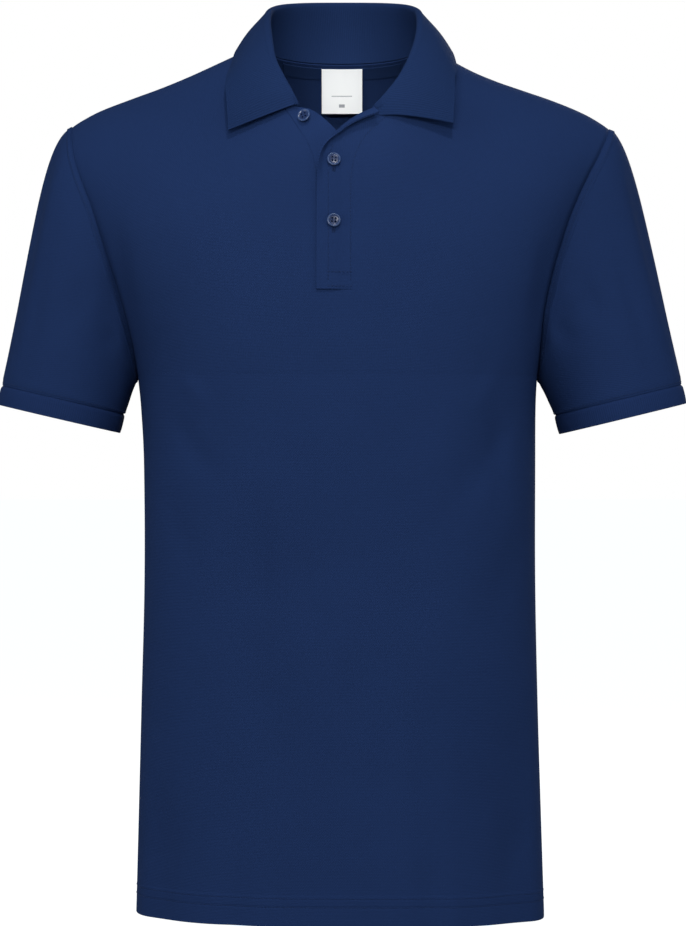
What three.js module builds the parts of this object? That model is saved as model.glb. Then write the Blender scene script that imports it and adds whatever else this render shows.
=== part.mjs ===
import * as THREE from 'three';

// A short-sleeved polo shirt, filled out with no wearer, in millimetres.
// +Z is up and the front looks along -Y. The origin lies midway between the high points of the
// shoulders, where the neck would carry the shirt. Left and right are as seen from the front.

// Heights, measured from the high points of the shoulders
const hemHeight = -738;
const underarmHeight = -286;
const shoulderTipHeight = -73;
const placketFootHeight = -212;
const hemSag = 5;
const hemSagTop = -560;

// Walls of the cloth
const bodyWall = 1.4;
const collarWall = 1.8;
const cuffWall = 2.0;
const bandWall = 1.6;
const tapeWall = 1.0;
const labelWall = 1.0;
const seamGap = 0.4;

// The torso is a rounded section at every height, a little squarer than an ellipse
const sectionPower = 2.35;
const ridgeDepth = 8;
const neckHalfWidth = 66;
const shoulderHalfSpan = 230;
const foldCalmDepth = 60;
const hemFoldGrowth = 1.6;

// left and right: from the middle to the side seam or the armhole seam
// reach: the share of the full half width at which that seam lies
const torsoRows = [
  { z: -738, left: 174.5, right: 171.5, reach: 1, front: 118, back: 114 },
  { z: -660, left: 172.5, right: 169, reach: 1, front: 116, back: 112 },
  { z: -560, left: 170, right: 166, reach: 1, front: 117, back: 110 },
  { z: -458, left: 167.5, right: 164, reach: 1, front: 120, back: 112 },
  { z: -356, left: 168, right: 164, reach: 1, front: 126, back: 120 },
  { z: -310, left: 170.5, right: 164.3, reach: 1, front: 128, back: 123 },
  { z: -286, left: 173, right: 165.5, reach: 1, front: 128, back: 124 },
  { z: -262, left: 176, right: 167.5, reach: 0.985, front: 128, back: 124 },
  { z: -232, left: 182.5, right: 170, reach: 0.957, front: 127, back: 124 },
  { z: -197, left: 192.5, right: 177, reach: 0.936, front: 126, back: 124 },
  { z: -163, left: 203, right: 187, reach: 0.922, front: 126, back: 124 },
  { z: -142, left: 210, right: 195, reach: 0.916, front: 126, back: 124 },
  { z: -118, left: 219.5, right: 206.5, reach: 0.912, front: 126, back: 124 },
  { z: -97, left: 226, right: 217.5, reach: 0.91, front: 126, back: 124 },
  { z: -73, left: 229, right: 227, reach: 0.91, front: 126, back: 124 },
  { z: 0, left: 231, right: 230, reach: 0.91, front: 126, back: 124 },
];

// Heights of the left and the right shoulder line, by distance from the middle. Inside the neck
// they run on as the line that the cloth rises to.
const shoulderRows = [
  { x: 0, left: 25.2, right: 25.2 },
  { x: 15, left: 24, right: 24 },
  { x: 30, left: 19.8, right: 19.8 },
  { x: 45, left: 12, right: 12 },
  { x: 57, left: 4, right: 4 },
  { x: 66, left: 0, right: 0 },
  { x: 107, left: -19, right: -23 },
  { x: 130, left: -29.5, right: -33 },
  { x: 153, left: -39, right: -41 },
  { x: 181, left: -49.3, right: -50.7 },
  { x: 206, left: -59, right: -61.2 },
  { x: 222, left: -67.5, right: -70.5 },
  { x: 230, left: -73, right: -77 },
  { x: 245, left: -86, right: -92 },
];

// How the cloth falls from that line to its full depth: over what height, and how roundly
const fall = {
  front: { middle: 280, armhole: 124, power: 1.8 },
  back: { middle: 110, armhole: 120, power: 1.5 },
};

// The front's inner edges: the placket seams, and above -59 the neckline up to the shoulder
const frontEdgeRows = [
  { z: -286, left: -20.7, right: 8.2 },
  { z: -160, left: -20.7, right: 8.2 },
  { z: -129, left: -20.7, right: 8.2 },
  { z: -109, left: -23, right: 10.6 },
  { z: -94, left: -29, right: 17.4 },
  { z: -79.5, left: -38, right: 29 },
  { z: -69, left: -44.7, right: 39 },
  { z: -59, left: -51, right: 48 },
  { z: -48, left: -58, right: 55.5 },
  { z: -34, left: -63.5, right: 62 },
  { z: -17.5, left: -66.5, right: 66 },
  { z: 0, left: -66, right: 66 },
];

const backNeckRows = [
  { x: 0, z: -11.5 },
  { x: 25, z: -11.3 },
  { x: 45, z: -10.4 },
  { x: 58, z: -8.6 },
  { x: 64, z: -3.5 },
  { x: 66, z: 0 },
];

// The largest folds: soft troughs in the cloth, leaning by `lean` from top to bottom
const foldRows = [
  { side: 'front', x: -92, lean: 22, top: -330, bottom: -600, width: 26, depth: 3.0 },
  { side: 'front', x: 118, lean: 8, top: -430, bottom: -738, width: 30, depth: 3.4 },
  { side: 'front', x: -118, lean: -6, top: -520, bottom: -738, width: 24, depth: 2.8 },
  { side: 'front', x: 128, lean: -34, top: -285, bottom: -420, width: 18, depth: 3.2 },
  { side: 'back', x: -58, lean: 14, top: -250, bottom: -650, width: 26, depth: 4.6 },
  { side: 'back', x: 66, lean: -10, top: -280, bottom: -700, width: 28, depth: 4.2 },
  { side: 'back', x: 4, lean: 6, top: -360, bottom: -738, width: 34, depth: 3.4 },
  { side: 'back', x: -128, lean: 30, top: -280, bottom: -470, width: 20, depth: 3.6 },
  { side: 'back', x: 126, lean: -26, top: -290, bottom: -500, width: 20, depth: 3.2 },
];

// Rows of cloth up the panels: down to the hem, and above the underarm as shares of the armhole
const bodyRowHeights = [-738, -712, -660, -608, -556, -504, -452, -404, -360, -322];
const placketFootShare = 1 - placketFootHeight / underarmHeight;
const armholeShares = [
  0, 0.12, placketFootShare, 0.38, 0.49, 0.59, 0.68, 0.76, 0.83, 0.89, 0.94, 0.975, 1,
];
const outerColumns = 10;
const placketColumns = 3;
const backNeckColumns = 10;

// Sleeves
const sleeves = {
  left: {
    sign: -1,
    cuffOuter: new THREE.Vector3(-289.5, 4, -292.5),
    cuffInner: new THREE.Vector3(-184.5, 4, -317),
    crown: new THREE.Vector3(-29, 0, -13),
  },
  right: {
    sign: 1,
    cuffOuter: new THREE.Vector3(289.5, 4, -291.5),
    cuffInner: new THREE.Vector3(180.5, 4, -318),
    crown: new THREE.Vector3(17, 0, -14),
  },
};
const sleeveHalfDepth = 54;
const sleeveRows = 9;
const sleeveSpacing = 0.9;
const sleeveCrownPower = 1.5;
// The way that the sleeve leaves the armhole at the underarm, and how far it runs on straight
const underarmRun = { across: 0.36, swell: 0.1, down: -0.93 };
const armholeReach = { underarm: 0.3, crown: 0.145 };
const cuffReach = { underarm: 0.3, crown: 0.5 };
const cuffDepth = 16.5;
const cuffProfile = [
  { along: 0, scale: 0.985 },
  { along: 0.25, scale: 0.998 },
  { along: 0.7, scale: 1.0 },
  { along: 1, scale: 0.992 },
];

// Collar: the line of its roll and of its outer edge, by share of the neck seam's length
const collarLeft = [
  { share: 0, roll: [-37.5, -86, -58.5], edge: [-93.6, -90, -84.5] },
  { share: 0.06, roll: [-44, -83, -48], edge: [-94.6, -86, -71] },
  { share: 0.1, roll: [-50, -76, -37.5], edge: [-95.6, -79, -58] },
  { share: 0.15, roll: [-58, -62, -20], edge: [-97, -62, -40] },
];
const collarRight = [
  { share: 0, roll: [28.5, -88, -62.5], edge: [91.7, -92, -77.7] },
  { share: 0.06, roll: [37, -84, -53], edge: [92.6, -87, -66] },
  { share: 0.1, roll: [48, -77, -39], edge: [93.4, -80, -54] },
  { share: 0.15, roll: [58, -62, -20], edge: [94.4, -62, -38] },
];
const collarBack = [
  { share: 0.205, roll: [63.5, -38, 2], edge: [95, -36, -24.5] },
  { share: 0.27, roll: [65, -6, 22], edge: [90.6, 5, -6.6] },
  { share: 0.34, roll: [60, 28, 33], edge: [81, 49, -13] },
  { share: 0.42, roll: [41, 61, 40], edge: [53, 79, -15] },
  { share: 0.5, roll: [0, 80, 43], edge: [0, 93, -17] },
];
const collarMiddle = 1.5;
const collarRollRadius = 4.2;
const collarRollWidth = 0.94;
const collarStandBulge = 1.5;
const collarFallBulge = { outward: 1.5, upward: 1.8 };
const collarSeamGap = 0.64;
const neckSeamBottom = -52;
const collarRollSteps = 4;
const collarStandSteps = 3;
const collarFallSteps = 5;

// The top edge of each placket band, on which the collar ends are sewn
const underBandTop = [
  { x: -37.5, z: -62 },
  { x: -44.5, z: -60.8 },
];
const topBandTop = [
  { x: 29, z: -66.3 },
  { x: 38.5, z: -63.3 },
];

// Placket bands: the line where each is sewn on and the line that it ends or turns back at
const underBandRows = [
  { seamX: -20.3, seamZ: -211.5, freeX: 7.4, freeZ: -211.5 },
  { seamX: -20.3, seamZ: -170, freeX: 7.4, freeZ: -170 },
  { seamX: -20.3, seamZ: -129, freeX: 7.4, freeZ: -126 },
  { seamX: -22.6, seamZ: -109, freeX: 5.5, freeZ: -103 },
  { seamX: -28.5, seamZ: -94, freeX: -3.5, freeZ: -86 },
  { seamX: -37.4, seamZ: -79.5, freeX: -17.5, freeZ: -72 },
  { seamX: -48.6, seamZ: -62.2, freeX: -27, freeZ: -65.8 },
];
const topBandRows = [
  { seamX: 9.2, seamZ: -217, foldX: -13.5, foldZ: -217, flap: 7.5, turn: 0 },
  { seamX: 9.2, seamZ: -175, foldX: -13.5, foldZ: -175, flap: 7.5, turn: 0 },
  { seamX: 9.2, seamZ: -135, foldX: -13.5, foldZ: -135, flap: 7.6, turn: 10 },
  { seamX: 9.8, seamZ: -121, foldX: -13.5, foldZ: -121, flap: 7.8, turn: 44 },
  { seamX: 12, seamZ: -109, foldX: -13, foldZ: -107.5, flap: 8.4, turn: 72 },
  { seamX: 15.4, seamZ: -99.5, foldX: -9.4, foldZ: -97, flap: 9, turn: 84 },
  { seamX: 20, seamZ: -91.5, foldX: -2.6, foldZ: -87, flap: 9.6, turn: 100 },
  { seamX: 31.5, seamZ: -78.5, foldX: 12.4, foldZ: -76.5, flap: 10.2, turn: 128 },
  { seamX: 47.2, seamZ: -65.2, foldX: 27.6, foldZ: -70.6, flap: 10.4, turn: 146 },
];
const bandRowCount = 16;
const bandColumns = 4;
const lapelSteps = 4;
const topBandLift = bandWall + 0.3;

// Buttons
const buttonRadius = 5.7;
const buttonThickness = 2.6;
const buttonHoleRadius = 0.85;
const buttonHoleOffset = 1.35;
const buttons = [
  { name: 'button_top', x: -30.7, z: -73.5, lift: 2.2, lean: -0.35 },
  { name: 'button_middle', x: -6.9, z: -110.5, lift: bandWall + 0.7, lean: 0 },
  { name: 'button_bottom', x: -6.9, z: -161, lift: bandWall + 0.7, lean: 0 },
];

// Neck tape and label, inside the back
const tapeHeight = 9;
const tapeHalfWidth = 52;
const tapeBelowSeam = 2;
const tapeGap = 0.8;
const labelHalfWidth = 17.8;
const labelHeight = 38;
const labelTop = -13;
const labelGap = 1.2;
// The label hangs from its top edge, and follows the back below it only in part
const labelFollow = 0.3;

// Finishes
const pique = new THREE.MeshStandardMaterial({ color: 0x1e3156, roughness: 0.86, metalness: 0 });
const rib = new THREE.MeshStandardMaterial({ color: 0x20355d, roughness: 0.88, metalness: 0 });
const tapeCloth = new THREE.MeshStandardMaterial({ color: 0x1b2d50, roughness: 0.85, metalness: 0 });
const labelCloth = new THREE.MeshStandardMaterial({ color: 0xf4f4f2, roughness: 0.7, metalness: 0 });
const buttonResin = new THREE.MeshStandardMaterial({ color: 0x22335a, roughness: 0.3, metalness: 0 });

const mix = THREE.MathUtils.lerp;

// A smooth line through the rows of a table: the column `name` at any value of the column `by`
function smoothLine(rows, by, name) {
  const last = rows.length - 1;
  const slopeAt = (i) => {
    const before = rows[Math.max(i - 1, 0)];
    const after = rows[Math.min(i + 1, last)];
    return (after[name] - before[name]) / (after[by] - before[by]);
  };
  return (value) => {
    const at = THREE.MathUtils.clamp(value, rows[0][by], rows[last][by]);
    let i = 0;
    while (i < last - 1 && at > rows[i + 1][by]) {
      i += 1;
    }
    const span = rows[i + 1][by] - rows[i][by];
    const f = (at - rows[i][by]) / span;
    const start = rows[i][name];
    const end = rows[i + 1][name];
    const bend = f * (1 - f) * span;
    const ease = f * f * (3 - 2 * f);
    return mix(start, end, ease) + bend * ((1 - f) * slopeAt(i) - f * slopeAt(i + 1));
  };
}

const halfLeft = smoothLine(torsoRows, 'z', 'left');
const halfRight = smoothLine(torsoRows, 'z', 'right');
const reachAt = smoothLine(torsoRows, 'z', 'reach');
const depthAt = {
  front: smoothLine(torsoRows, 'z', 'front'),
  back: smoothLine(torsoRows, 'z', 'back'),
};
const shoulderLeft = smoothLine(shoulderRows, 'x', 'left');
const shoulderRight = smoothLine(shoulderRows, 'x', 'right');
const frontEdge = {
  left: smoothLine(frontEdgeRows, 'z', 'left'),
  right: smoothLine(frontEdgeRows, 'z', 'right'),
};
const backNeckLine = smoothLine(backNeckRows, 'x', 'z');

function shoulderLine(x) {
  return x < 0 ? shoulderLeft(-x) : shoulderRight(x);
}

function fullHalfWidth(z, sign) {
  const half = sign < 0 ? halfLeft(z) : halfRight(z);
  return half / Math.min(reachAt(z), 1);
}

// The turn round the section at which the side seam or the armhole seam lies
function seamTurn(z, sign) {
  return sign * Math.asin(Math.min(reachAt(z), 1) ** (sectionPower / 2));
}

function turnOf(x, z) {
  const share = Math.min(Math.abs(x) / fullHalfWidth(z, x), 1);
  return Math.sign(x) * Math.asin(share ** (sectionPower / 2));
}

function widthAt(turn, z) {
  return Math.sign(turn) * fullHalfWidth(z, turn) * Math.abs(Math.sin(turn)) ** (2 / sectionPower);
}

function foldDepth(side, x, z) {
  let depth = 0;
  for (const fold of foldRows) {
    const along = (fold.top - z) / (fold.top - fold.bottom);
    const open = fold.bottom <= hemHeight;
    if (fold.side === side && along > 0 && (along < 1 || open)) {
      const middle = fold.x + fold.lean * along;
      const across = (x - middle) / fold.width;
      const swell = open
        ? Math.sin(Math.min(along * hemFoldGrowth, 1) * Math.PI / 2)
        : Math.sin(along * Math.PI);
      depth += fold.depth * swell ** 2 * Math.exp(-across * across);
    }
  }
  return depth;
}

// A point of the torso's outer face, on the front or the back, at a turn round its section
function torsoPoint(side, turn, z) {
  const x = widthAt(turn, z);
  const sign = side === 'front' ? -1 : 1;
  const shape = fall[side];
  const full = depthAt[side](z) * Math.abs(Math.cos(turn)) ** (2 / sectionPower);
  const height = mix(shape.middle, shape.armhole, Math.min(Math.abs(x) / shoulderHalfSpan, 1));
  const drop = THREE.MathUtils.clamp((shoulderLine(x) - z) / height, 0, 1);
  const grown = (1 - (1 - drop) ** shape.power) ** (1 / shape.power);
  const y = mix(ridgeDepth, sign * full, grown);
  const calm = Math.min(full / foldCalmDepth, 1);
  return new THREE.Vector3(x, y - sign * calm * foldDepth(side, x, z) + sign * seamGap / 2, z);
}

// The hem hangs a little lower at the right side
function sagAt(x, z) {
  const low = THREE.MathUtils.clamp((hemSagTop - z) / (hemSagTop - hemHeight), 0, 1);
  return hemSag * low * Math.max(x / halfRight(z), 0) ** 2;
}

function torsoPointAtX(side, x, z) {
  return torsoPoint(side, turnOf(x, z), z);
}

// The outward direction of the torso at a place
function torsoNormal(side, x, z) {
  const step = 2;
  const here = torsoPointAtX(side, x, z);
  const across = torsoPointAtX(side, x + step, z).sub(torsoPointAtX(side, x - step, z));
  const up = torsoPointAtX(side, x, z + step).sub(torsoPointAtX(side, x, z - step));
  const normal = across.cross(up).normalize();
  const outward = side === 'front' ? -1 : 1;
  return { here, normal: normal.multiplyScalar(Math.sign(normal.y) * outward || 1) };
}

// A wall of cloth from a grid of points on its outer face. `present` leaves cells out, `round`
// joins the last column to the first, `flip` turns the outer face to the other side, and `squared`
// names the points on a seam between front and back, where the wall stands square to the seam.
function clothWall(rows, thickness, options = {}) {
  const { round = false, flip = false, present = () => true, squared = () => false } = options;
  const rowCount = rows.length;
  const columnCount = rows[0].length;
  const cellColumns = round ? columnCount : columnCount - 1;
  const indexOf = (r, c) => r * columnCount + (c % columnCount);
  const outer = rows.flat();
  const normals = outer.map(() => new THREE.Vector3());
  const faces = [];
  for (let r = 0; r < rowCount - 1; r += 1) {
    for (let c = 0; c < cellColumns; c += 1) {
      if (present(r, c)) {
        const corners = [indexOf(r, c), indexOf(r, c + 1), indexOf(r + 1, c + 1), indexOf(r + 1, c)];
        if (flip) {
          corners.reverse();
        }
        faces.push([corners[0], corners[1], corners[2]], [corners[0], corners[2], corners[3]]);
      }
    }
  }
  for (const [a, b, c] of faces) {
    const ab = outer[b].clone().sub(outer[a]);
    const ac = outer[c].clone().sub(outer[a]);
    const normal = ab.cross(ac);
    for (const corner of [a, b, c]) {
      normals[corner].add(normal);
    }
  }
  const inner = outer.map((point, i) => {
    const normal = normals[i];
    if (squared(Math.floor(i / columnCount), i % columnCount)) {
      normal.y = 0;
    }
    return point.clone().addScaledVector(normal.normalize(), -thickness);
  });
  const shift = outer.length;
  const edges = new Map();
  const index = [];
  for (const face of faces) {
    index.push(...face, face[0] + shift, face[2] + shift, face[1] + shift);
    for (let k = 0; k < 3; k += 1) {
      const from = face[k];
      const to = face[(k + 1) % 3];
      if (edges.has(`${to}_${from}`)) {
        edges.delete(`${to}_${from}`);
      } else {
        edges.set(`${from}_${to}`, [from, to]);
      }
    }
  }
  for (const [from, to] of edges.values()) {
    index.push(to, from, from + shift, to, from + shift, to + shift);
  }
  const used = [...new Set(index)];
  const place = new Map(used.map((old, i) => [old, i]));
  const all = outer.concat(inner);
  const geometry = new THREE.BufferGeometry();
  const positions = used.flatMap((old) => all[old].toArray());
  geometry.setAttribute('position', new THREE.Float32BufferAttribute(positions, 3));
  geometry.setIndex(index.map((old) => place.get(old)));
  geometry.computeVertexNormals();
  return geometry;
}

const shirt = new THREE.Group();
shirt.name = 'polo_shirt';

function addPiece(name, geometry, material) {
  const mesh = new THREE.Mesh(geometry, material);
  mesh.name = name;
  shirt.add(mesh);
}

// Panels

// A point of a panel between its outer seam (across = 0) and its inner edge (across = 1)
function panelPoint(side, sign, innerEdge, across, level) {
  if (level.z !== undefined) {
    const turn = mix(seamTurn(level.z, sign), turnOf(innerEdge(level.z), level.z), across);
    return torsoPoint(side, turn, level.z - sagAt(widthAt(turn, level.z), level.z));
  }
  const outerZ = mix(underarmHeight, shoulderTipHeight, level.share);
  const innerZ = mix(underarmHeight, 0, level.share);
  const turn = mix(seamTurn(outerZ, sign), turnOf(innerEdge(innerZ), innerZ), across);
  const topTurn = mix(seamTurn(shoulderTipHeight, sign), turnOf(innerEdge(0), 0), across);
  const straightTop = mix(shoulderTipHeight, 0, across);
  let top = straightTop;
  for (let pass = 0; pass < 5; pass += 1) {
    top = shoulderLine(widthAt(topTurn, top));
  }
  const z = mix(outerZ, innerZ, across) + level.share * (top - straightTop);
  return torsoPoint(side, turn, z);
}

const levels = [
  ...bodyRowHeights.map((z) => ({ z })),
  ...armholeShares.map((share) => ({ share })),
];

function shares(count) {
  return Array.from({ length: count + 1 }, (unused, i) => i / count);
}

function frontGrid() {
  return levels.map((level) => {
    const edge = level.z !== undefined ? level.z : mix(underarmHeight, 0, level.share);
    const leftX = frontEdge.left(edge);
    const rightX = frontEdge.right(edge);
    const left = shares(outerColumns).map((s) => panelPoint('front', -1, frontEdge.left, s, level));
    const right = shares(outerColumns).map((s) => panelPoint('front', 1, frontEdge.right, s, level));
    const middle = shares(placketColumns).slice(1, -1)
      .map((s) => torsoPointAtX('front', mix(leftX, rightX, s), edge));
    return [...left, ...middle, ...right.reverse()];
  });
}

function backGrid() {
  const leftNeck = () => -neckHalfWidth;
  const rightNeck = () => neckHalfWidth;
  return levels.map((level) => {
    const edge = level.z !== undefined ? level.z : mix(underarmHeight, 0, level.share);
    const left = shares(outerColumns).map((s) => panelPoint('back', -1, leftNeck, s, level));
    const right = shares(outerColumns).map((s) => panelPoint('back', 1, rightNeck, s, level));
    const middle = shares(backNeckColumns).slice(1, -1).map((s) => {
      const x = neckHalfWidth * Math.sin((s - 0.5) * Math.PI);
      const dip = level.z !== undefined ? 0 : level.share ** 3 * backNeckLine(Math.abs(x));
      return torsoPointAtX('back', x, edge + dip);
    });
    return [...left, ...middle, ...right.reverse()];
  });
}

const front = frontGrid();
const back = backGrid();
const placketFootRow = bodyRowHeights.length + armholeShares.indexOf(placketFootShare);
const isPlacketCell = (r, c) => r >= placketFootRow && c >= outerColumns && c < outerColumns + placketColumns;

// Side seams up to the underarm, and shoulder seams
function onPanelSeam(r, c, rowCount, columnCount) {
  const onSide = r <= bodyRowHeights.length && (c === 0 || c === columnCount - 1);
  const onShoulder = r === rowCount - 1 && (c <= outerColumns || c >= columnCount - 1 - outerColumns);
  return onSide || onShoulder;
}
addPiece('front', clothWall(front, bodyWall, {
  present: (r, c) => !isPlacketCell(r, c),
  squared: (r, c) => onPanelSeam(r, c, front.length, front[0].length),
}), pique);
addPiece('back', clothWall(back, bodyWall, {
  flip: true,
  squared: (r, c) => onPanelSeam(r, c, back.length, back[0].length),
}), pique);

// Sleeves and cuffs

// The armhole's loop: up the front's edge and down the back's, on the panels' own points
function armholeLoop(side) {
  const column = side === 'left' ? 0 : front[0].length - 1;
  const backColumn = side === 'left' ? 0 : back[0].length - 1;
  const first = bodyRowHeights.length;
  const up = front.slice(first).map((row) => row[column]);
  const down = back.slice(first).map((row) => row[backColumn]).reverse();
  const top = up[up.length - 1].clone().add(down[0]).multiplyScalar(0.5);
  const foot = up[0].clone().add(down[down.length - 1]).multiplyScalar(0.5);
  return [foot, ...up.slice(1, -1), top, ...down.slice(1, -1)];
}

function sleeveRings(side) {
  const form = sleeves[side];
  const loop = armholeLoop(side);
  const half = loop.length / 2;
  const centre = form.cuffOuter.clone().add(form.cuffInner).multiplyScalar(0.5);
  const inward = form.cuffInner.clone().sub(centre);
  const axis = new THREE.Vector3(inward.z, 0, -inward.x).normalize();
  axis.multiplyScalar(Math.sign(-axis.z));
  const lengths = [0];
  for (let i = 1; i <= loop.length; i += 1) {
    lengths.push(lengths[i - 1] + loop[i % loop.length].distanceTo(loop[i - 1]));
  }
  const ringPoint = (i) => {
    const start = i <= half ? 0 : lengths[half];
    const end = i <= half ? lengths[half] : lengths[loop.length];
    const turn = Math.PI * ((lengths[i] - start) / (end - start) + (i <= half ? 0 : 1));
    return centre.clone()
      .addScaledVector(inward, Math.cos(turn))
      .add(new THREE.Vector3(0, -sleeveHalfDepth * Math.sin(turn), 0));
  };
  const paths = loop.map((point, i) => {
    const end = ringPoint(i);
    const span = point.distanceTo(end);
    const height = (point.z - underarmHeight) / (shoulderTipHeight - underarmHeight);
    const swell = Math.sin(Math.PI * THREE.MathUtils.clamp(height, 0, 1));
    const crownShare = height ** sleeveCrownPower;
    const fromUnderarm = new THREE.Vector3(
      form.sign * underarmRun.across,
      Math.sign(point.y) * underarmRun.swell * swell,
      underarmRun.down,
    );
    const leave = form.crown.clone().normalize().multiplyScalar(crownShare)
      .addScaledVector(fromUnderarm, 1 - crownShare)
      .normalize();
    const start = point.clone().addScaledVector(leave, seamGap)
      .add(new THREE.Vector3(form.sign * seamGap, 0, 0));
    const nearReach = span * mix(armholeReach.underarm, armholeReach.crown, height);
    const farReach = span * mix(cuffReach.underarm, cuffReach.crown, height);
    const second = start.clone().addScaledVector(leave, nearReach);
    const third = end.clone().addScaledVector(axis, -farReach);
    return new THREE.CubicBezierCurve3(start, second, third, end);
  });
  const rings = shares(sleeveRows).map((s) => paths.map((path) => path.getPoint(s ** sleeveSpacing)));
  return { rings, axis, centre };
}

function cuffRings(sleeve) {
  const { rings, axis, centre } = sleeve;
  const last = rings[rings.length - 1];
  return cuffProfile.map((step) => last.map((point) => {
    const spoke = point.clone().sub(centre).multiplyScalar(step.scale);
    return centre.clone().add(spoke).addScaledVector(axis, seamGap + step.along * cuffDepth);
  }));
}

for (const side of ['left', 'right']) {
  const sleeve = sleeveRings(side);
  const flip = side === 'right';
  addPiece(`sleeve_${side}`, clothWall(sleeve.rings, bodyWall, { round: true, flip }), pique);
  addPiece(`cuff_${side}`, clothWall(cuffRings(sleeve), cuffWall, { round: true, flip }), rib);
}

// Collar

// The neck seam from the left collar end, round the back, to the right collar end
function neckSeam() {
  const isOnCollar = (share) => underarmHeight * (1 - share) > neckSeamBottom;
  const rowsFrom = bodyRowHeights.length + armholeShares.findIndex(isOnCollar);
  const upLeft = front.slice(rowsFrom).map((row) => row[outerColumns]);
  const upRight = front.slice(rowsFrom).map((row) => row[outerColumns + placketColumns]);
  const top = back[back.length - 1];
  const backPoints = top.slice(outerColumns + 1, outerColumns + backNeckColumns);
  const onFront = (row) => torsoPointAtX('front', row.x, row.z);
  return [
    ...underBandTop.map(onFront),
    ...upLeft,
    ...backPoints,
    ...upRight.reverse(),
    ...topBandTop.map(onFront).reverse(),
  ];
}

function collarTable() {
  const spread = (row, sign, share, shift) => ({
    share,
    rollX: sign * row.roll[0] + shift,
    rollY: row.roll[1],
    rollZ: row.roll[2],
    edgeX: sign * row.edge[0] + shift,
    edgeY: row.edge[1],
    edgeZ: row.edge[2],
  });
  const middle = collarBack[collarBack.length - 1].share;
  return [
    ...collarLeft.map((row) => spread(row, 1, row.share, 0)),
    ...collarBack.map((row) => spread(row, -1, row.share, collarMiddle)),
    ...collarBack.filter((row) => row.share < middle)
      .map((row) => spread(row, 1, 1 - row.share, collarMiddle)).reverse(),
    ...collarRight.map((row) => spread(row, 1, 1 - row.share, 0)).reverse(),
  ];
}

// One section of the collar: up the stand, round the roll and down the fall
function collarSection(seam, roll, edge) {
  const outward = edge.clone().sub(roll);
  outward.z = 0;
  outward.normalize();
  const up = new THREE.Vector3(0, 0, 1);
  const centre = roll.clone().addScaledVector(up, -collarRollRadius);
  const start = seam.clone().addScaledVector(roll.clone().sub(seam).normalize(), collarSeamGap);
  const halfWidth = collarRollRadius * collarRollWidth;
  const inner = centre.clone().addScaledVector(outward, -halfWidth);
  const outer = centre.clone().addScaledVector(outward, halfWidth);
  const stand = shares(collarStandSteps).slice(0, -1).map((s) => {
    const bulge = collarStandBulge * Math.sin(Math.PI * s);
    return start.clone().lerp(inner, s).addScaledVector(outward, bulge);
  });
  const arc = shares(collarRollSteps).map((s) => {
    const turn = Math.PI * s;
    return centre.clone()
      .addScaledVector(outward, -Math.cos(turn) * halfWidth)
      .addScaledVector(up, Math.sin(turn) * collarRollRadius);
  });
  const leaf = shares(collarFallSteps).slice(1).map((s) => {
    const bulge = Math.sin(Math.PI * s);
    return outer.clone().lerp(edge, s)
      .addScaledVector(outward, bulge * collarFallBulge.outward)
      .addScaledVector(up, bulge * collarFallBulge.upward);
  });
  return [...stand, ...arc, ...leaf];
}

function collarGrid() {
  const seam = neckSeam();
  const lengths = [0];
  for (let i = 1; i < seam.length; i += 1) {
    lengths.push(lengths[i - 1] + seam[i].distanceTo(seam[i - 1]));
  }
  const table = collarTable();
  const names = ['rollX', 'rollY', 'rollZ', 'edgeX', 'edgeY', 'edgeZ'];
  const line = Object.fromEntries(names.map((name) => [name, smoothLine(table, 'share', name)]));
  return seam.map((point, i) => {
    const share = lengths[i] / lengths[seam.length - 1];
    const roll = new THREE.Vector3(line.rollX(share), line.rollY(share), line.rollZ(share));
    const edge = new THREE.Vector3(line.edgeX(share), line.edgeY(share), line.edgeZ(share));
    return collarSection(point, roll, edge);
  });
}

addPiece('collar', clothWall(collarGrid(), collarWall, { flip: true }), rib);

// Placket

function bandPointOn(x, z, lift) {
  const { here, normal } = torsoNormal('front', x, z);
  return here.addScaledVector(normal, lift);
}

function bandLine(rows, names) {
  const numbered = rows.map((row, i) => ({ ...row, place: i }));
  const lines = names.map((name) => smoothLine(numbered, 'place', name));
  return (share) => Object.fromEntries(names.map((name, k) => [name, lines[k](share * (rows.length - 1))]));
}

const underBandAt = bandLine(underBandRows, ['seamX', 'seamZ', 'freeX', 'freeZ']);
const underBandGrid = shares(bandRowCount).map((s) => {
  const row = underBandAt(s);
  return shares(bandColumns)
    .map((f) => bandPointOn(mix(row.seamX, row.freeX, f), mix(row.seamZ, row.freeZ, f), 0));
});
addPiece('placket_under', clothWall(underBandGrid, bandWall), pique);

const topBandAt = bandLine(topBandRows, ['seamX', 'seamZ', 'foldX', 'foldZ', 'flap', 'turn']);

// The band lies on the front up to its fold, and its free edge turns back more and more upwards
function topBandRow(s) {
  const row = topBandAt(s);
  const flat = shares(bandColumns).map((f) => {
    return bandPointOn(mix(row.seamX, row.foldX, f), mix(row.seamZ, row.foldZ, f), topBandLift);
  });
  const fold = flat[flat.length - 1];
  const { normal } = torsoNormal('front', row.foldX, row.foldZ);
  const onward = fold.clone().sub(flat[flat.length - 2]).normalize();
  const turn = THREE.MathUtils.degToRad(Math.max(row.turn, 0));
  const points = [];
  let point = fold;
  for (let k = 1; k <= lapelSteps; k += 1) {
    const heading = turn * Math.min((k - 0.5) / (lapelSteps - 1), 1);
    const step = onward.clone().multiplyScalar(Math.cos(heading)).addScaledVector(normal, Math.sin(heading));
    point = point.clone().addScaledVector(step, row.flap / lapelSteps);
    points.push(point);
  }
  return [...flat, ...points].reverse();
}
addPiece('placket_top', clothWall(shares(bandRowCount).map(topBandRow), bandWall), pique);

// Neck tape and label

function backInside(x, z, depth) {
  const { here, normal } = torsoNormal('back', x, z);
  return here.addScaledVector(normal, -depth);
}

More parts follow.
